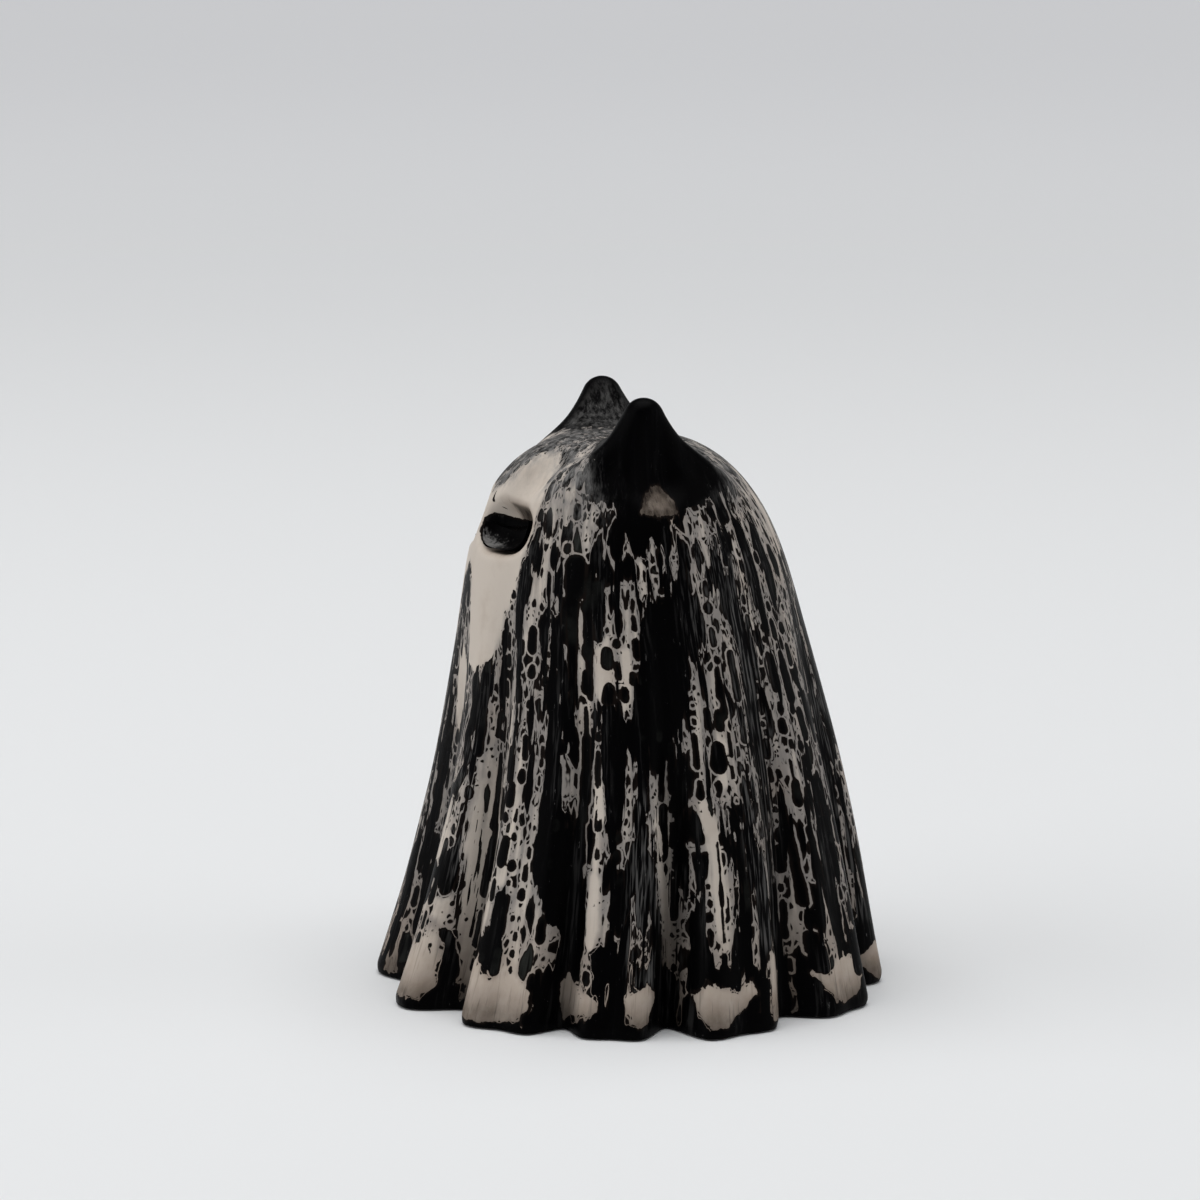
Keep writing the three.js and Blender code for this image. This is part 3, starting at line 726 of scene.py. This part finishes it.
class Graph:
    """The node tree of one material."""

    def __init__(self, name):
        self.material = bpy.data.materials.new(name)
        self.material.use_nodes = True
        self.tree = self.material.node_tree
        self.tree.nodes.clear()

    def add(self, kind, settings=None, values=None, output=0):
        """Adds a node: its settings first, then the values or links of its sockets."""
        node = self.tree.nodes.new(kind)
        for name, setting in (settings or {}).items():
            setattr(node, name, setting)
        for name, value in (values or {}).items():
            if isinstance(value, Value):
                self.tree.links.new(value.socket, node.inputs[name])
            else:
                node.inputs[name].default_value = value
        return Value(self, node.outputs[output]) if node.outputs else None

    def attribute(self, name, output="Fac"):
        """A number or vector stored on the mesh."""
        return self.add("ShaderNodeAttribute", {"attribute_name": name}, output=output)

    def vector(self, operation, first, second):
        """One Vector Math node."""
        return self.add("ShaderNodeVectorMath", {"operation": operation}, {0: first, 1: second})

    def noise(self, place, scale, detail=2.0, rough=0.5, output="Fac"):
        """Noise in three dimensions."""
        values = {"Vector": place, "Scale": scale, "Detail": detail, "Roughness": rough}
        return self.add("ShaderNodeTexNoise", None, values, output)

    def streaks(self, place, along, *settings):
        """Noise that is drawn out along the third axis: the smaller the number, the longer."""
        return self.noise(self.vector("MULTIPLY", place, (1, 1, along)), *settings)

    def blend(self, share, first, second):
        """Mixes two colours."""
        settings = {"data_type": "RGBA"}
        return self.add("ShaderNodeMix", settings, {0: share, 6: first, 7: second}, 2)

    def surface(self, colour, roughness, specular, height, depth):
        """The finished surface, with a bump of the given depth in metres."""
        bump = {"Strength": 1.0, "Distance": depth, "Height": height}
        values = {
            "Base Color": colour, "Roughness": roughness, "Specular IOR Level": specular,
            "Normal": self.add("ShaderNodeBump", None, bump),
        }
        shader = self.add("ShaderNodeBsdfPrincipled", None, values)
        self.add("ShaderNodeOutputMaterial", None, {"Surface": shader})
        return self.material


def opaque(colour):
    """A colour property with full opacity."""
    return (*colour, 1.0)


def cell_layer(graph, place, size, seed, more, spread):
    """Depth inside rounded upright cells, in millimetres. More black swells them until they merge."""
    width, length = size
    squeezed = graph.vector("MULTIPLY", place, (1 / width, 1 / width, 1 / length))
    moved = {"Vector": graph.vector("ADD", squeezed, (seed, seed * 1.7, seed * 2.3)), "Scale": 1.0}
    moved["Randomness"] = 0.88
    first = graph.add("ShaderNodeTexVoronoi", {"feature": "F1"}, moved)
    second = graph.add("ShaderNodeTexVoronoi", {"feature": "F2"}, moved)
    chance = graph.add("ShaderNodeSeparateColor", None, {0: first.other("Color")})
    merged = (more - 0.1).most(0.0)
    margin = 0.09 - merged * 3.0
    reach = 0.52 + more.least(0.1) * 0.7 + merged * 1.6 + (chance - 0.5) * spread
    depth = (second - first - margin).math("SMOOTH_MIN", reach - first, 0.16)
    return depth * width, chance.other("Green")


def poured_paint(settings):
    """Black paint that parted into cells and streams over a bone-white cast, in a satin finish, with painted
    shade in the fold valleys and the sockets, darkening toward the hem, and a painted sheen on the ears.
    """
    graph = Graph("Poured paint")
    flow = graph.attribute("flow", "Vector")
    bare, black, drops = (graph.attribute(name) for name in ("bare", "black", "drops"))
    cover, lace = graph.attribute("cover"), graph.attribute("lace")
    veil_and_sheen, shade_and_darkening = graph.attribute("veil_and_sheen"), graph.attribute("shade_and_darkening")
    brush, deep = graph.attribute("brush"), graph.attribute("deep")

    # Edges wander slowly, and shiver a little on top of that
    slow = graph.streaks(flow, 0.4, 0.36, 1.0, 0.5, "Color")
    quick = graph.streaks(flow, 0.6, 1.6, 1.0, 0.5, "Color")
    half = (0.5, 0.5, 0.5)
    slow = graph.vector("MULTIPLY", graph.vector("SUBTRACT", slow, half), (1.2, 1.2, 2.2))
    quick = graph.vector("MULTIPLY", graph.vector("SUBTRACT", quick, half), (0.28, 0.28, 0.5))
    place = graph.vector("ADD", flow, graph.vector("ADD", slow, quick))
    ragged = graph.streaks(flow, 0.6, 0.9, 3.0, 0.55) - 0.5
    streak = graph.streaks(flow, 0.07, 0.46, 3.0, 0.55)
    stream = graph.streaks(flow, 0.045, 1.15, 2.0, 0.5)
    hair = graph.streaks(flow, 0.035, 3.4, 2.0, 0.55)

    # Three sizes of cell: black swells them until they merge, bare places shrink them
    width, length = settings.cell_width / MM, settings.cell_length / MM
    more = (cover - 0.39) * 0.95 + (streak - 0.5) * 2.0 + (stream - 0.5) * 1.5
    more = more + (black + ragged).ramp(-0.3, 1.6) * 0.8
    more = more - (bare + ragged * 0.8).ramp(-0.7, 0.8) * 0.9
    more = more.least(0.8).most(-0.9)
    large, shade = cell_layer(graph, place, (width, length), 0.0, more - lace * 0.5, 0.34)
    apart = (more - 0.04).most(0.0) * 8.0 - 0.16
    drop = drops + ragged * 0.5
    film = large.least(apart - drop).most(drop)
    middle, _ = cell_layer(graph, place, (width * 0.46, length * 0.36), 3.1, more + 0.04, 0.3)
    film = film.most(middle.least(-film - 0.15))
    small, _ = cell_layer(graph, place, (width * 0.24, length * 0.16), 7.7, more + 0.06, 0.3)
    film = film.most(small.least(-film - 0.1))
    film = film.most(black + ragged * 1.6 - 1.2)
    film = film.most(brush * 0.9 - 0.5 - hair.ramp(0.36, 0.62))
    film = film.least(-(bare + ragged * 1.3) + 0.2).most(graph.attribute("blots") + ragged * 0.4)

    # Hairlines, flecks and mist where the white shows through the black, and the painted sheen on the inner
    # sides of the ears
    fleck = graph.streaks(flow, 0.22, 3.2, 3.0, 0.65)
    mist = graph.streaks(flow, 0.35, 0.9, 5.0, 0.68)
    dust = graph.noise(flow, 5.5, 2.0, 0.7)
    edge = 1 - black.ramp(0.6, 2.5) * 0.85
    thin = fleck.ramp(0.66, 0.74) * streak.ramp(0.45, 0.65) * 0.4 * edge
    drawn = hair.ramp(0.48, 0.64) * (brush * 0.8 + streak.ramp(0.5, 0.75) * 0.3) * edge
    haze = veil_and_sheen * (mist.ramp(0.38, 0.66) * 0.9 + hair.ramp(0.5, 0.75) * 0.35)
    specks = dust.ramp(0.74, 0.78) * 0.25

    paint = film.ramp(0.0, 0.06)
    stain = graph.noise(flow, 0.22, 3.0, 0.55)
    patchy = graph.streaks(flow, 0.5, 0.8, 3.0, 0.6)
    web_share = (more + (patchy - 0.5) * 0.7).ramp(-0.75, 0.05) * (1 - bare.ramp(-0.6, 0.9))
    white = graph.blend(web_share, opaque(settings.cream), opaque(settings.web))
    # Brown stain at random, plus the darkening toward the hem and below the ears and the painted shade in
    # the sockets
    worn = (stain.ramp(0.5, 0.8) * 0.4 + shade_and_darkening * (patchy * 0.9 + 0.3)).least(0.95)
    white = graph.blend(worn, white, opaque(settings.stain))
    # Grey hairlines only where the sheet is darkened or shaded
    white = graph.blend(hair.ramp(0.56, 0.7) * shade_and_darkening * 0.4, white, opaque(settings.grey))
    # Heaviest painted shade in the sockets, and the strongest darkening near the hem and below the ears, in
    # the film edge's brown
    heavy_shade_and_darkening = shade_and_darkening.ramp(0.7, 1.2) * (0.45 + patchy * 0.8)
    white = graph.blend(heavy_shade_and_darkening, white, opaque(settings.rim))
    white = graph.blend(dust.ramp(0.6, 0.75) * 0.25, white, opaque(settings.stain))
    dark = graph.blend(streak.ramp(0.45, 0.75) * 0.45, opaque(settings.black), opaque(settings.worn))
    pale = shade.ramp(0.84, 0.88) * (1 - (more + (black + 1.0).ramp(0, 1)).ramp(-0.1, 0.06))
    dried = stain.ramp(0.5, 0.72) * drop.ramp(0.1, 0.3) * 0.4
    pale = (pale * (1 - (drop + 0.3).ramp(0, 0.3))).most(dried)
    dark = graph.blend(pale, dark, opaque(settings.grey))
    dark = graph.blend((specks + thin + drawn * 0.4).least(1.0), dark, opaque(settings.veil_and_sheen))
    dark = graph.blend(film.ramp(0.05, 0.4), opaque(settings.rim), dark)
    colour = graph.blend(paint, white, dark)
    haze = haze * (1 - bare.ramp(0.2, 1.2) * 0.75)
    colour = graph.blend(haze * 0.85, colour, opaque(settings.veil_and_sheen))
    # Painted shade in the fold valleys, together with black paint gathered there
    shadow = deep * 0.75
    colour = graph.blend(shadow, colour, opaque(settings.black))

    grain = graph.noise(flow, 9.0, 3.0, 0.6)
    brushed = graph.streaks(flow, 0.1, 6.0, 2.0, 0.5)
    rough = 0.46 - paint * 0.05 + (grain - 0.5) * 0.22 + haze * 0.2
    height = paint * 0.55 + brushed * 0.25 + grain * 0.2
    return graph.surface(colour, rough, settings.gloss, height, settings.film)


def black_lining(settings):
    """Black paint gone over with a dry brush, for the eye linings."""
    graph = Graph("Eye black")
    place = graph.add("ShaderNodeTexCoord", output="Object")
    lengthened = graph.vector("MULTIPLY", place, (1000, 1000, 1000))
    smudge = graph.attribute("smudge")
    grain = graph.noise(lengthened, 1.3, 4.0, 0.65)
    strokes = graph.streaks(lengthened, 0.25, 3.0, 2.0, 0.6)
    share = (smudge + (grain - 0.5) * 1.3 + (strokes - 0.5) * 1.6).ramp(0.35, 1.15) * 0.8
    colour = graph.blend(share, opaque(settings.black), opaque(settings.veil_and_sheen))
    rough = 0.5 + (grain - 0.5) * 0.3
    return graph.surface(colour, rough, settings.gloss, grain * 0.6 + strokes * 0.4, settings.film)


def moulded_plate(settings):
    """Black board with a faint long grain, for the base plate."""
    graph = Graph("Black board")
    place = graph.add("ShaderNodeTexCoord", output="Object")
    grain = graph.noise(graph.vector("MULTIPLY", place, (400, 2600, 400)), 1.0, 3.0, 0.6)
    speck = graph.noise(place, 4200.0, 2.0, 0.7)
    colour = graph.blend(grain.ramp(0.35, 0.75) * 0.6, opaque(BOARD_DARK), opaque(BOARD_LIGHT))
    rough = 0.55 + (speck - 0.5) * 0.2
    return graph.surface(colour, rough, 0.3, grain * 0.6 + speck * 0.4, 0.00005)


def wool_felt(settings):
    """Pressed wool felt: short crossing fibres and a soft nap."""
    graph = Graph("Wool felt")
    place = graph.add("ShaderNodeTexCoord", output="Object")
    bent = graph.vector("ADD", graph.vector("MULTIPLY", place, (1000, 1000, 1000)),
                        graph.noise(place, 900.0, 2.0, 0.6, "Color"))
    one_way = graph.noise(graph.vector("MULTIPLY", bent, (0.8, 5, 3)), 1.0, 3.0, 0.7)
    other_way = graph.noise(graph.vector("MULTIPLY", bent, (5, 0.8, 3)), 1.0, 3.0, 0.7)
    fibre = one_way.most(other_way)
    nap = graph.noise(place, 260.0, 2.0, 0.5)
    share = fibre.ramp(0.45, 0.75) * 0.8 + nap * 0.2
    colour = graph.blend(share, opaque(FELT_DARK), opaque(settings.felt))
    rough = 0.9 + (fibre - 0.5) * 0.1
    return graph.surface(colour, rough, 0.1, fibre * 0.8 + nap * 0.2, settings.nap)


def pale_floor(settings):
    """Matt studio floor, with an even glow far behind the figure, where the lamps don't reach."""
    graph = Graph("Studio floor")
    place = graph.add("ShaderNodeTexCoord", output="Object")
    away = graph.add("ShaderNodeVectorMath", {"operation": "LENGTH"}, {0: place}, 1)
    spread = away.math("POWER", 3.5)
    share = spread / (spread + 2.8)
    paper = graph.noise(place, 900.0, 2.0, 0.5)
    values = {
        "Base Color": opaque(settings.near), "Roughness": 0.8, "Specular IOR Level": 0.1,
        "Emission Color": graph.blend(share, (0, 0, 0, 1), opaque(settings.far)),
        "Emission Strength": 1.0,
        "Normal": graph.add("ShaderNodeBump", None, {"Distance": 0.00001, "Height": paper}),
    }
    shader = graph.add("ShaderNodeBsdfPrincipled", None, values)
    graph.add("ShaderNodeOutputMaterial", None, {"Surface": shader})
    return graph.material


def make_piece(name, points, faces, material, node, masks=None):
    """Puts a piece on the frame in place of its solid."""
    low, high = (np.array(corner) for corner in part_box(node))
    mesh = bpy.data.meshes.new(name)
    mesh.from_pydata(np.clip(points * MM, low, high).tolist(), [], faces)
    for mask, values in (masks or {}).items():
        kind, field = ("FLOAT_VECTOR", "vector") if values.ndim == 2 else ("FLOAT", "value")
        mesh.attributes.new(mask, kind, "POINT").data.foreach_set(field, values.ravel())
    mesh.materials.append(material)
    mesh.update()
    mesh.set_sharp_from_angle(angle=radians(55))
    piece = bpy.data.objects.new(name, mesh)
    bpy.context.collection.objects.link(piece)
    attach(piece, "root")
    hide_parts(node)
    return piece


def colour_property(name, description, default):
    """A colour that the user may change."""
    return FloatVectorProperty(
        name=name, description=description, default=default, subtype="COLOR", min=0, max=1)


class PaintSettings(bpy.types.PropertyGroup):
    """Finish of the figure."""

    cream: colour_property(
        "Bone white", "Bare cast where no black was poured", (0.55, 0.49, 0.43))
    web: colour_property(
        "Web", "White left between the cells", (0.25, 0.23, 0.215))
    # This brown also paints the darkening toward the hem and the painted shade in the sockets
    stain: colour_property(
        "Stain", "Brown tinge in the white", (0.36, 0.29, 0.235))
    black: colour_property(
        "Black", "Poured black paint", (0.0008, 0.0007, 0.0009))
    worn: colour_property(
        "Worn black", "Black paint where it runs thin", (0.0024, 0.0024, 0.003))
    grey: colour_property(
        "Grey black", "Cells that dried to a grey green", (0.017, 0.018, 0.016))
    # This brown also paints the heaviest shade in the sockets and the strongest darkening near the hem and
    # below the ears
    rim: colour_property(
        "Film edge", "Brown edge of the black film, and the smallest cells", (0.008, 0.0055, 0.0045))
    # This grey also paints the sheen on the inner sides of the ears
    veil_and_sheen: colour_property(
        "Veil", "Grey streaks dragged over the black", (0.22, 0.215, 0.21))
    cell_width: FloatProperty(
        name="Cell width", description="Width of the largest paint cells",
        default=2.2 * MM, min=0.0005, max=0.01, unit="LENGTH")
    cell_length: FloatProperty(
        name="Cell length", description="Length of the largest paint cells, along the flow",
        default=5.2 * MM, min=0.0005, max=0.03, unit="LENGTH")
    film: FloatProperty(
        name="Film thickness", description="Thickness of the paint where it ends",
        default=0.06 * MM, min=0, max=0.0005, unit="LENGTH")
    gloss: FloatProperty(
        name="Gloss", description="Strength of the satin reflection",
        default=0.02, min=0, max=1, subtype="FACTOR")
    unevenness: FloatProperty(
        name="Unevenness", description="How far the hand-finished surface falls back in places",
        default=0.16 * MM, min=0, max=0.001, unit="LENGTH")
    felt: colour_property(
        "Felt", "Lighter fibres of the felt pad", (0.03, 0.03, 0.032))
    nap: FloatProperty(
        name="Felt nap", description="Height of the felt's fibres",
        default=0.18 * MM, min=0, max=0.001, unit="LENGTH")


class StageSettings(bpy.types.PropertyGroup):
    """Floor, light and camera."""

    near: colour_property(
        "Floor near", "Floor beside the figure", (0.80, 0.81, 0.82))
    far: colour_property(
        "Floor far", "Glow of the floor far behind the figure", (0.515, 0.52, 0.535))
    azimuth: FloatProperty(
        name="Camera azimuth", description="Turn of the camera from the front toward the left",
        default=radians(78.7), subtype="ANGLE", unit="ROTATION")
    pitch: FloatProperty(
        name="Camera pitch", description="How far the camera looks down",
        default=radians(9.2), subtype="ANGLE", unit="ROTATION")
    distance: FloatProperty(
        name="Camera distance", description="From the camera to the point it looks at",
        default=0.493, min=0.1, max=5, unit="LENGTH")
    lens: FloatProperty(
        name="Lens", description="Focal length in millimetres", default=126.0, min=20, max=400)
    overhead: FloatProperty(
        name="Overhead light", description="Power of the large light above", default=22.8,
        min=0, max=500, unit="POWER")


class GHOSTCAT_OT_draped_body(bpy.types.Operator):
    """Cast body: the draped sheet with ears, brows and sockets, hollow inside, with poured paint"""

    bl_idname = "ghostcat.draped_body"
    bl_label = "Draped body"

    def execute(self, context):
        paint = context.scene.ghost_cat_paint
        unevenness = paint.unevenness / MM
        azimuths = graded(-180, 180, lambda a: np.interp(
            np.abs(a), (0, 4, 8, 37, 42, 50, 180), (0.75, 0.5, 0.42, 0.42, 0.5, 0.75, 0.75)))[:-1]
        shares = graded(0, 1, lambda s: np.interp(
            s, (0, 0.7, 0.76, 0.9, 0.95, 1), (0.009, 0.008, 0.0045, 0.0045, 0.007, 0.01)))[1:]
        heights = graded(HEM_LIFT, CROWN_START, lambda h: np.interp(
            h, (0.2, 1.4, 3, 6, 46), (0.12, 0.16, 0.3, 0.42, 0.42)))[-2::-1]
        outside = comb(lambda p: finished_field(p, unevenness), azimuths, shares, heights)
        inside = comb(hollow_field, azimuths,
                      np.linspace(0, 1, 14)[1:], np.linspace(CROWN_START, LEDGE, 14)[1:])

        mouth = outward(azimuths) * (sheet_radius(azimuths, LEDGE) - RIM_WALL)[:, None]
        mouth[:, 1] += lean_at(LEDGE)
        rim = np.stack([mouth + (0, 0, HEM_LIFT), mouth + (0, 0, LEDGE)])
        crown = np.array([0, lean_at(CROWN_TOP), CROWN_START])
        top = hit(lambda p: finished_field(p, unevenness), crown, np.array([0, 0, 1.0]))
        ceiling = hit(hollow_field, crown, np.array([0, 0, 1.0]))
        rows = np.concatenate([outside, rim, inside[::-1]])
        points, faces = closed_skin(rows, top, ceiling)

        shown = len(outside) * len(azimuths) + 1
        azimuth = np.zeros(len(points))
        azimuth[1:-1] = np.tile(azimuths, len(rows))
        radius = np.hypot(points[:, 0] / SIDE_STRETCH, points[:, 1] - lean_at(points[:, 2]))
        masks = paint_masks(Chart(azimuth, points[:, 2], np.maximum(radius, 1.0)), points)
        masks["bare"][shown:] = 5
        masks["blots"][shown:] = -5
        angle = np.radians(azimuth)
        around = 26 * (1 - np.exp(-radius / 11))
        masks["flow"] = np.stack([around * np.sin(angle), around * np.cos(angle), points[:, 2]], -1)
        make_piece("draped_sheet", points, faces, poured_paint(paint), "draped_body", masks)
        return {"FINISHED"}


class GHOSTCAT_OT_eye_linings(bpy.types.Operator):
    """Black linings of both eye sockets: thin bowls with a feathered edge, open at the top"""

    bl_idname = "ghostcat.eye_linings"
    bl_label = "Eye linings"

    def lining(self, unevenness):
        """Bowl of the left eye as rows of points, and the two points that close it at its deepest place."""
        around = np.linspace(0, tau, 120, endpoint=False)
        size = EYE_SIZE - 0.32

        def at(angle, wall=0.0):
            """Points of the bowl at an angle from its deepest point, one to each direction."""
            unit = np.stack([np.cos(around) * np.sin(angle), np.sin(around) * np.sin(angle),
                             0 * around - np.cos(angle)], -1)
            reach = (np.abs(unit) ** EYE_SQUARENESS).sum(-1, keepdims=True) ** (1 / EYE_SQUARENESS)
            return unit / reach * (size - wall)

        ragged = 0.1 * np.sin(around * 9 + 1) + 0.08 * np.sin(around * 17) + 0.06 * np.sin(around * 29)
        slope = np.tan(radians(LINING_TILT))
        low, high = np.full(120, 0.2), np.full(120, pi * 0.75)
        for _ in range(24):
            middle = (low + high) / 2
            place = at(middle)
            kept = place[:, 1] - place[:, 0] * slope < LINING_TOP - 0.1 + ragged
            kept &= uneven_sheet(EYE_CENTRE + place @ EYE_AXES, unevenness) < -0.42
            low, high = np.where(kept, middle, low), np.where(kept, high, middle)
        steps = np.linspace(0, 1, 26)[1:]
        front = [at(low * step, 0.06 + (LINING_WALL - 0.06) * (1 - step ** 2)) for step in steps]
        back = [at(low * step) for step in steps]
        rows = EYE_CENTRE + np.array(front + back[::-1]) @ EYE_AXES
        deep = EYE_CENTRE + np.array([(0, 0, -size[2]), (0, 0, LINING_WALL - size[2])]) @ EYE_AXES
        return rows, deep[1], deep[0]

    def execute(self, context):
        paint = context.scene.ghost_cat_paint
        material = black_lining(paint)
        rows, top, bottom = self.lining(paint.unevenness / MM)
        points, faces = closed_skin(rows, top, bottom)
        turned = (points - EYE_CENTRE) @ EYE_AXES.T
        smudge = (np.clip((2.4 - turned[:, 0]) / 4, 0, 1) * np.clip((0.2 - turned[:, 1]) / 2.2, 0, 1)
                  * np.clip((turned[:, 2] + 3.4) / 2, 0, 1))
        flipped = [face[::-1] for face in faces]
        make_piece("left_lining", points, faces, material, "left_eye",
                   {"smudge": smudge})
        make_piece("right_lining", points * (-1, 1, 1), flipped, material, "right_eye",
                   {"smudge": smudge})
        return {"FINISHED"}


def slab(inset, bottom, top, bevel, wobble=0.0):
    """A flat piece whose edge follows the folds at the ledge, with rounded rims."""
    azimuths = np.linspace(-180, 180, 540, endpoint=False)
    edge = sheet_radius(azimuths, LEDGE) - inset
    if wobble:
        random = np.random.default_rng(3)
        edge = edge - wobble * random.uniform(0, 1, len(edge))
    turn = np.linspace(0, pi / 2, 5)
    insets = np.concatenate([bevel * (1 - np.sin(turn)), bevel * (1 - np.cos(turn))])
    levels = np.concatenate([top - bevel * (1 - np.cos(turn)), bottom + bevel * (1 - np.sin(turn))])
    shares = np.linspace(0.06, 0.97, 16)
    rows = [(edge * share, np.full(len(edge), top)) for share in shares]
    rows += [(edge - inward, np.full(len(edge), level)) for inward, level in zip(insets, levels)]
    rows += [(edge * share, np.full(len(edge), bottom)) for share in shares[::-1]]
    away = outward(azimuths)
    lean = np.array([0, lean_at(LEDGE), 0])
    points = np.array([away * reach[:, None] + lean + np.stack([0 * level, 0 * level, level], -1)
                       for reach, level in rows])
    return closed_skin(points, lean + (0, 0, top), lean + (0, 0, bottom))


class GHOSTCAT_OT_base_plate(bpy.types.Operator):
    """Black plate that closes the hollow foot"""

    bl_idname = "ghostcat.base_plate"
    bl_label = "Base plate"

    def execute(self, context):
        paint = context.scene.ghost_cat_paint
        points, faces = slab(PLATE_INSET, PLATE_BOTTOM, PLATE_TOP, 0.25)
        make_piece("closing_plate", points, faces, moulded_plate(paint), "base_plate")
        return {"FINISHED"}


class GHOSTCAT_OT_felt_pad(bpy.types.Operator):
    """Felt pad under the plate, with a soft cut edge"""

    bl_idname = "ghostcat.felt_pad"
    bl_label = "Felt pad"

    def execute(self, context):
        paint = context.scene.ghost_cat_paint
        points, faces = slab(PAD_INSET, 0, PAD_TOP, 0.3, 0.12)
        make_piece("felt_foot", points, faces, wool_felt(paint), "felt_pad")
        return {"FINISHED"}


class GHOSTCAT_OT_stage(bpy.types.Operator):
    """Pale floor, soft lights and the camera"""

    bl_idname = "ghostcat.stage"
    bl_label = "Stage"

    def light(self, name, power, size, place, colour=(1, 1, 1)):
        """A square soft light that faces the figure."""
        data = bpy.data.lights.new(name, "AREA")
        data.energy, data.size, data.color = power, size, colour
        lamp = bpy.data.objects.new(name, data)
        bpy.context.collection.objects.link(lamp)
        away = np.array(place) - (0, 0, 0.035)
        away = away / np.linalg.norm(away)
        across = np.cross((0.001, 1, 0), away)
        across /= np.linalg.norm(across)
        turn = Matrix(np.stack([across, np.cross(away, across), away], -1).tolist())
        lamp.matrix_world = Matrix.Translation(place) @ turn.to_4x4()

    def room(self):
        """A dim room with a pale band round the horizon."""
        world = bpy.data.worlds.new("room")
        world.use_nodes = True
        nodes, links = world.node_tree.nodes, world.node_tree.links
        place = nodes.new("ShaderNodeTexCoord")
        parts = nodes.new("ShaderNodeSeparateXYZ")
        band = nodes.new("ShaderNodeMapRange")
        band.interpolation_type = "SMOOTHSTEP"
        for name, value in (("From Min", 0.1), ("From Max", 0.45), ("To Min", 0.56), ("To Max", 0.03)):
            band.inputs[name].default_value = value
        links.new(place.outputs["Generated"], parts.inputs[0])
        links.new(parts.outputs["Z"], band.inputs["Value"])
        background = nodes["Background"]
        background.inputs["Color"].default_value = (0.98, 0.99, 1, 1)
        links.new(band.outputs[0], background.inputs["Strength"])
        return world

    def execute(self, context):
        stage = context.scene.ghost_cat_stage
        around = np.linspace(0, tau, FLOOR_COLUMNS, endpoint=False)
        rings = np.geomspace(0.02, FLOOR_REACH, FLOOR_RINGS)
        points = np.array([(ring * cos(turn), ring * sin(turn), 0) for ring in rings for turn in around])
        faces = []
        for ring in range(len(rings) - 1):
            start = ring * FLOOR_COLUMNS
            outer = start + FLOOR_COLUMNS
            for column in range(FLOOR_COLUMNS):
                following = (column + 1) % FLOOR_COLUMNS
                faces.append((start + column, outer + column, outer + following, start + following))
        faces.append(tuple(range(FLOOR_COLUMNS)))
        mesh = bpy.data.meshes.new("floor")
        mesh.from_pydata(points.tolist(), [], faces)
        mesh.materials.append(pale_floor(stage))
        floor = bpy.data.objects.new("floor", mesh)
        bpy.context.collection.objects.link(floor)

        a, e = stage.azimuth, stage.pitch
        back = np.array([sin(a) * cos(e), -cos(a) * cos(e), sin(e)])
        right = np.array([cos(a), sin(a), 0])
        target = np.array([AIM_SIDE * cos(a), AIM_SIDE * sin(a), AIM_HEIGHT]) * MM
        turn = Matrix(np.stack([right, np.cross(back, right), back], -1).tolist())
        data = bpy.data.cameras.new("camera")
        data.lens, data.sensor_width, data.sensor_fit = stage.lens, 36.0, "HORIZONTAL"
        data.clip_start, data.clip_end = 0.01, 50
        camera = bpy.data.objects.new("camera", data)
        camera.matrix_world = Matrix.Translation(target + back * stage.distance) @ turn.to_4x4()
        bpy.context.collection.objects.link(camera)
        context.scene.camera = camera

        flat = np.array([back[0], back[1], 0]) / cos(e)
        above = np.array([0, 0, 1])
        self.light("overhead", stage.overhead, 1.6, above * 1.5 - flat * 0.1)
        self.light("left_fill", stage.overhead * 0.26, 1.3, above * 0.5 - right * 1.0 + flat * 0.25)
        self.light("right_fill", stage.overhead * 0.1, 0.9, above * 0.5 + right * 1.1 + flat * 0.1)
        context.scene.world = self.room()
        context.scene.view_settings.view_transform = "Standard"
        return {"FINISHED"}


class GHOSTCAT_PT_panel(bpy.types.Panel):
    """Builds the figure piece by piece"""

    bl_label = "Ghost cat"
    bl_idname = "GHOSTCAT_PT_panel"
    bl_space_type = "VIEW_3D"
    bl_region_type = "UI"
    bl_category = "Ghost cat"

    def draw(self, context):
        layout = self.layout
        for settings in (context.scene.ghost_cat_paint, context.scene.ghost_cat_stage):
            for name in settings.__annotations__:
                layout.prop(settings, name)
        for operator in OPERATORS:
            layout.operator(operator.bl_idname)


OPERATORS = (
    GHOSTCAT_OT_draped_body,
    GHOSTCAT_OT_eye_linings,
    GHOSTCAT_OT_base_plate,
    GHOSTCAT_OT_felt_pad,
    GHOSTCAT_OT_stage,
)
CLASSES = (PaintSettings, StageSettings, *OPERATORS, GHOSTCAT_PT_panel)


def register():
    for cls in CLASSES:
        bpy.utils.register_class(cls)
    bpy.types.Scene.ghost_cat_paint = PointerProperty(type=PaintSettings)
    bpy.types.Scene.ghost_cat_stage = PointerProperty(type=StageSettings)


def unregister():
    del bpy.types.Scene.ghost_cat_stage
    del bpy.types.Scene.ghost_cat_paint
    for cls in reversed(CLASSES):
        bpy.utils.unregister_class(cls)


def main():
    """Registers the add-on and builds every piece."""
    register()
    bpy.ops.ghostcat.draped_body()
    bpy.ops.ghostcat.eye_linings()
    bpy.ops.ghostcat.base_plate()
    bpy.ops.ghostcat.felt_pad()
    bpy.ops.ghostcat.stage()


if __name__ == "__main__":
    main()
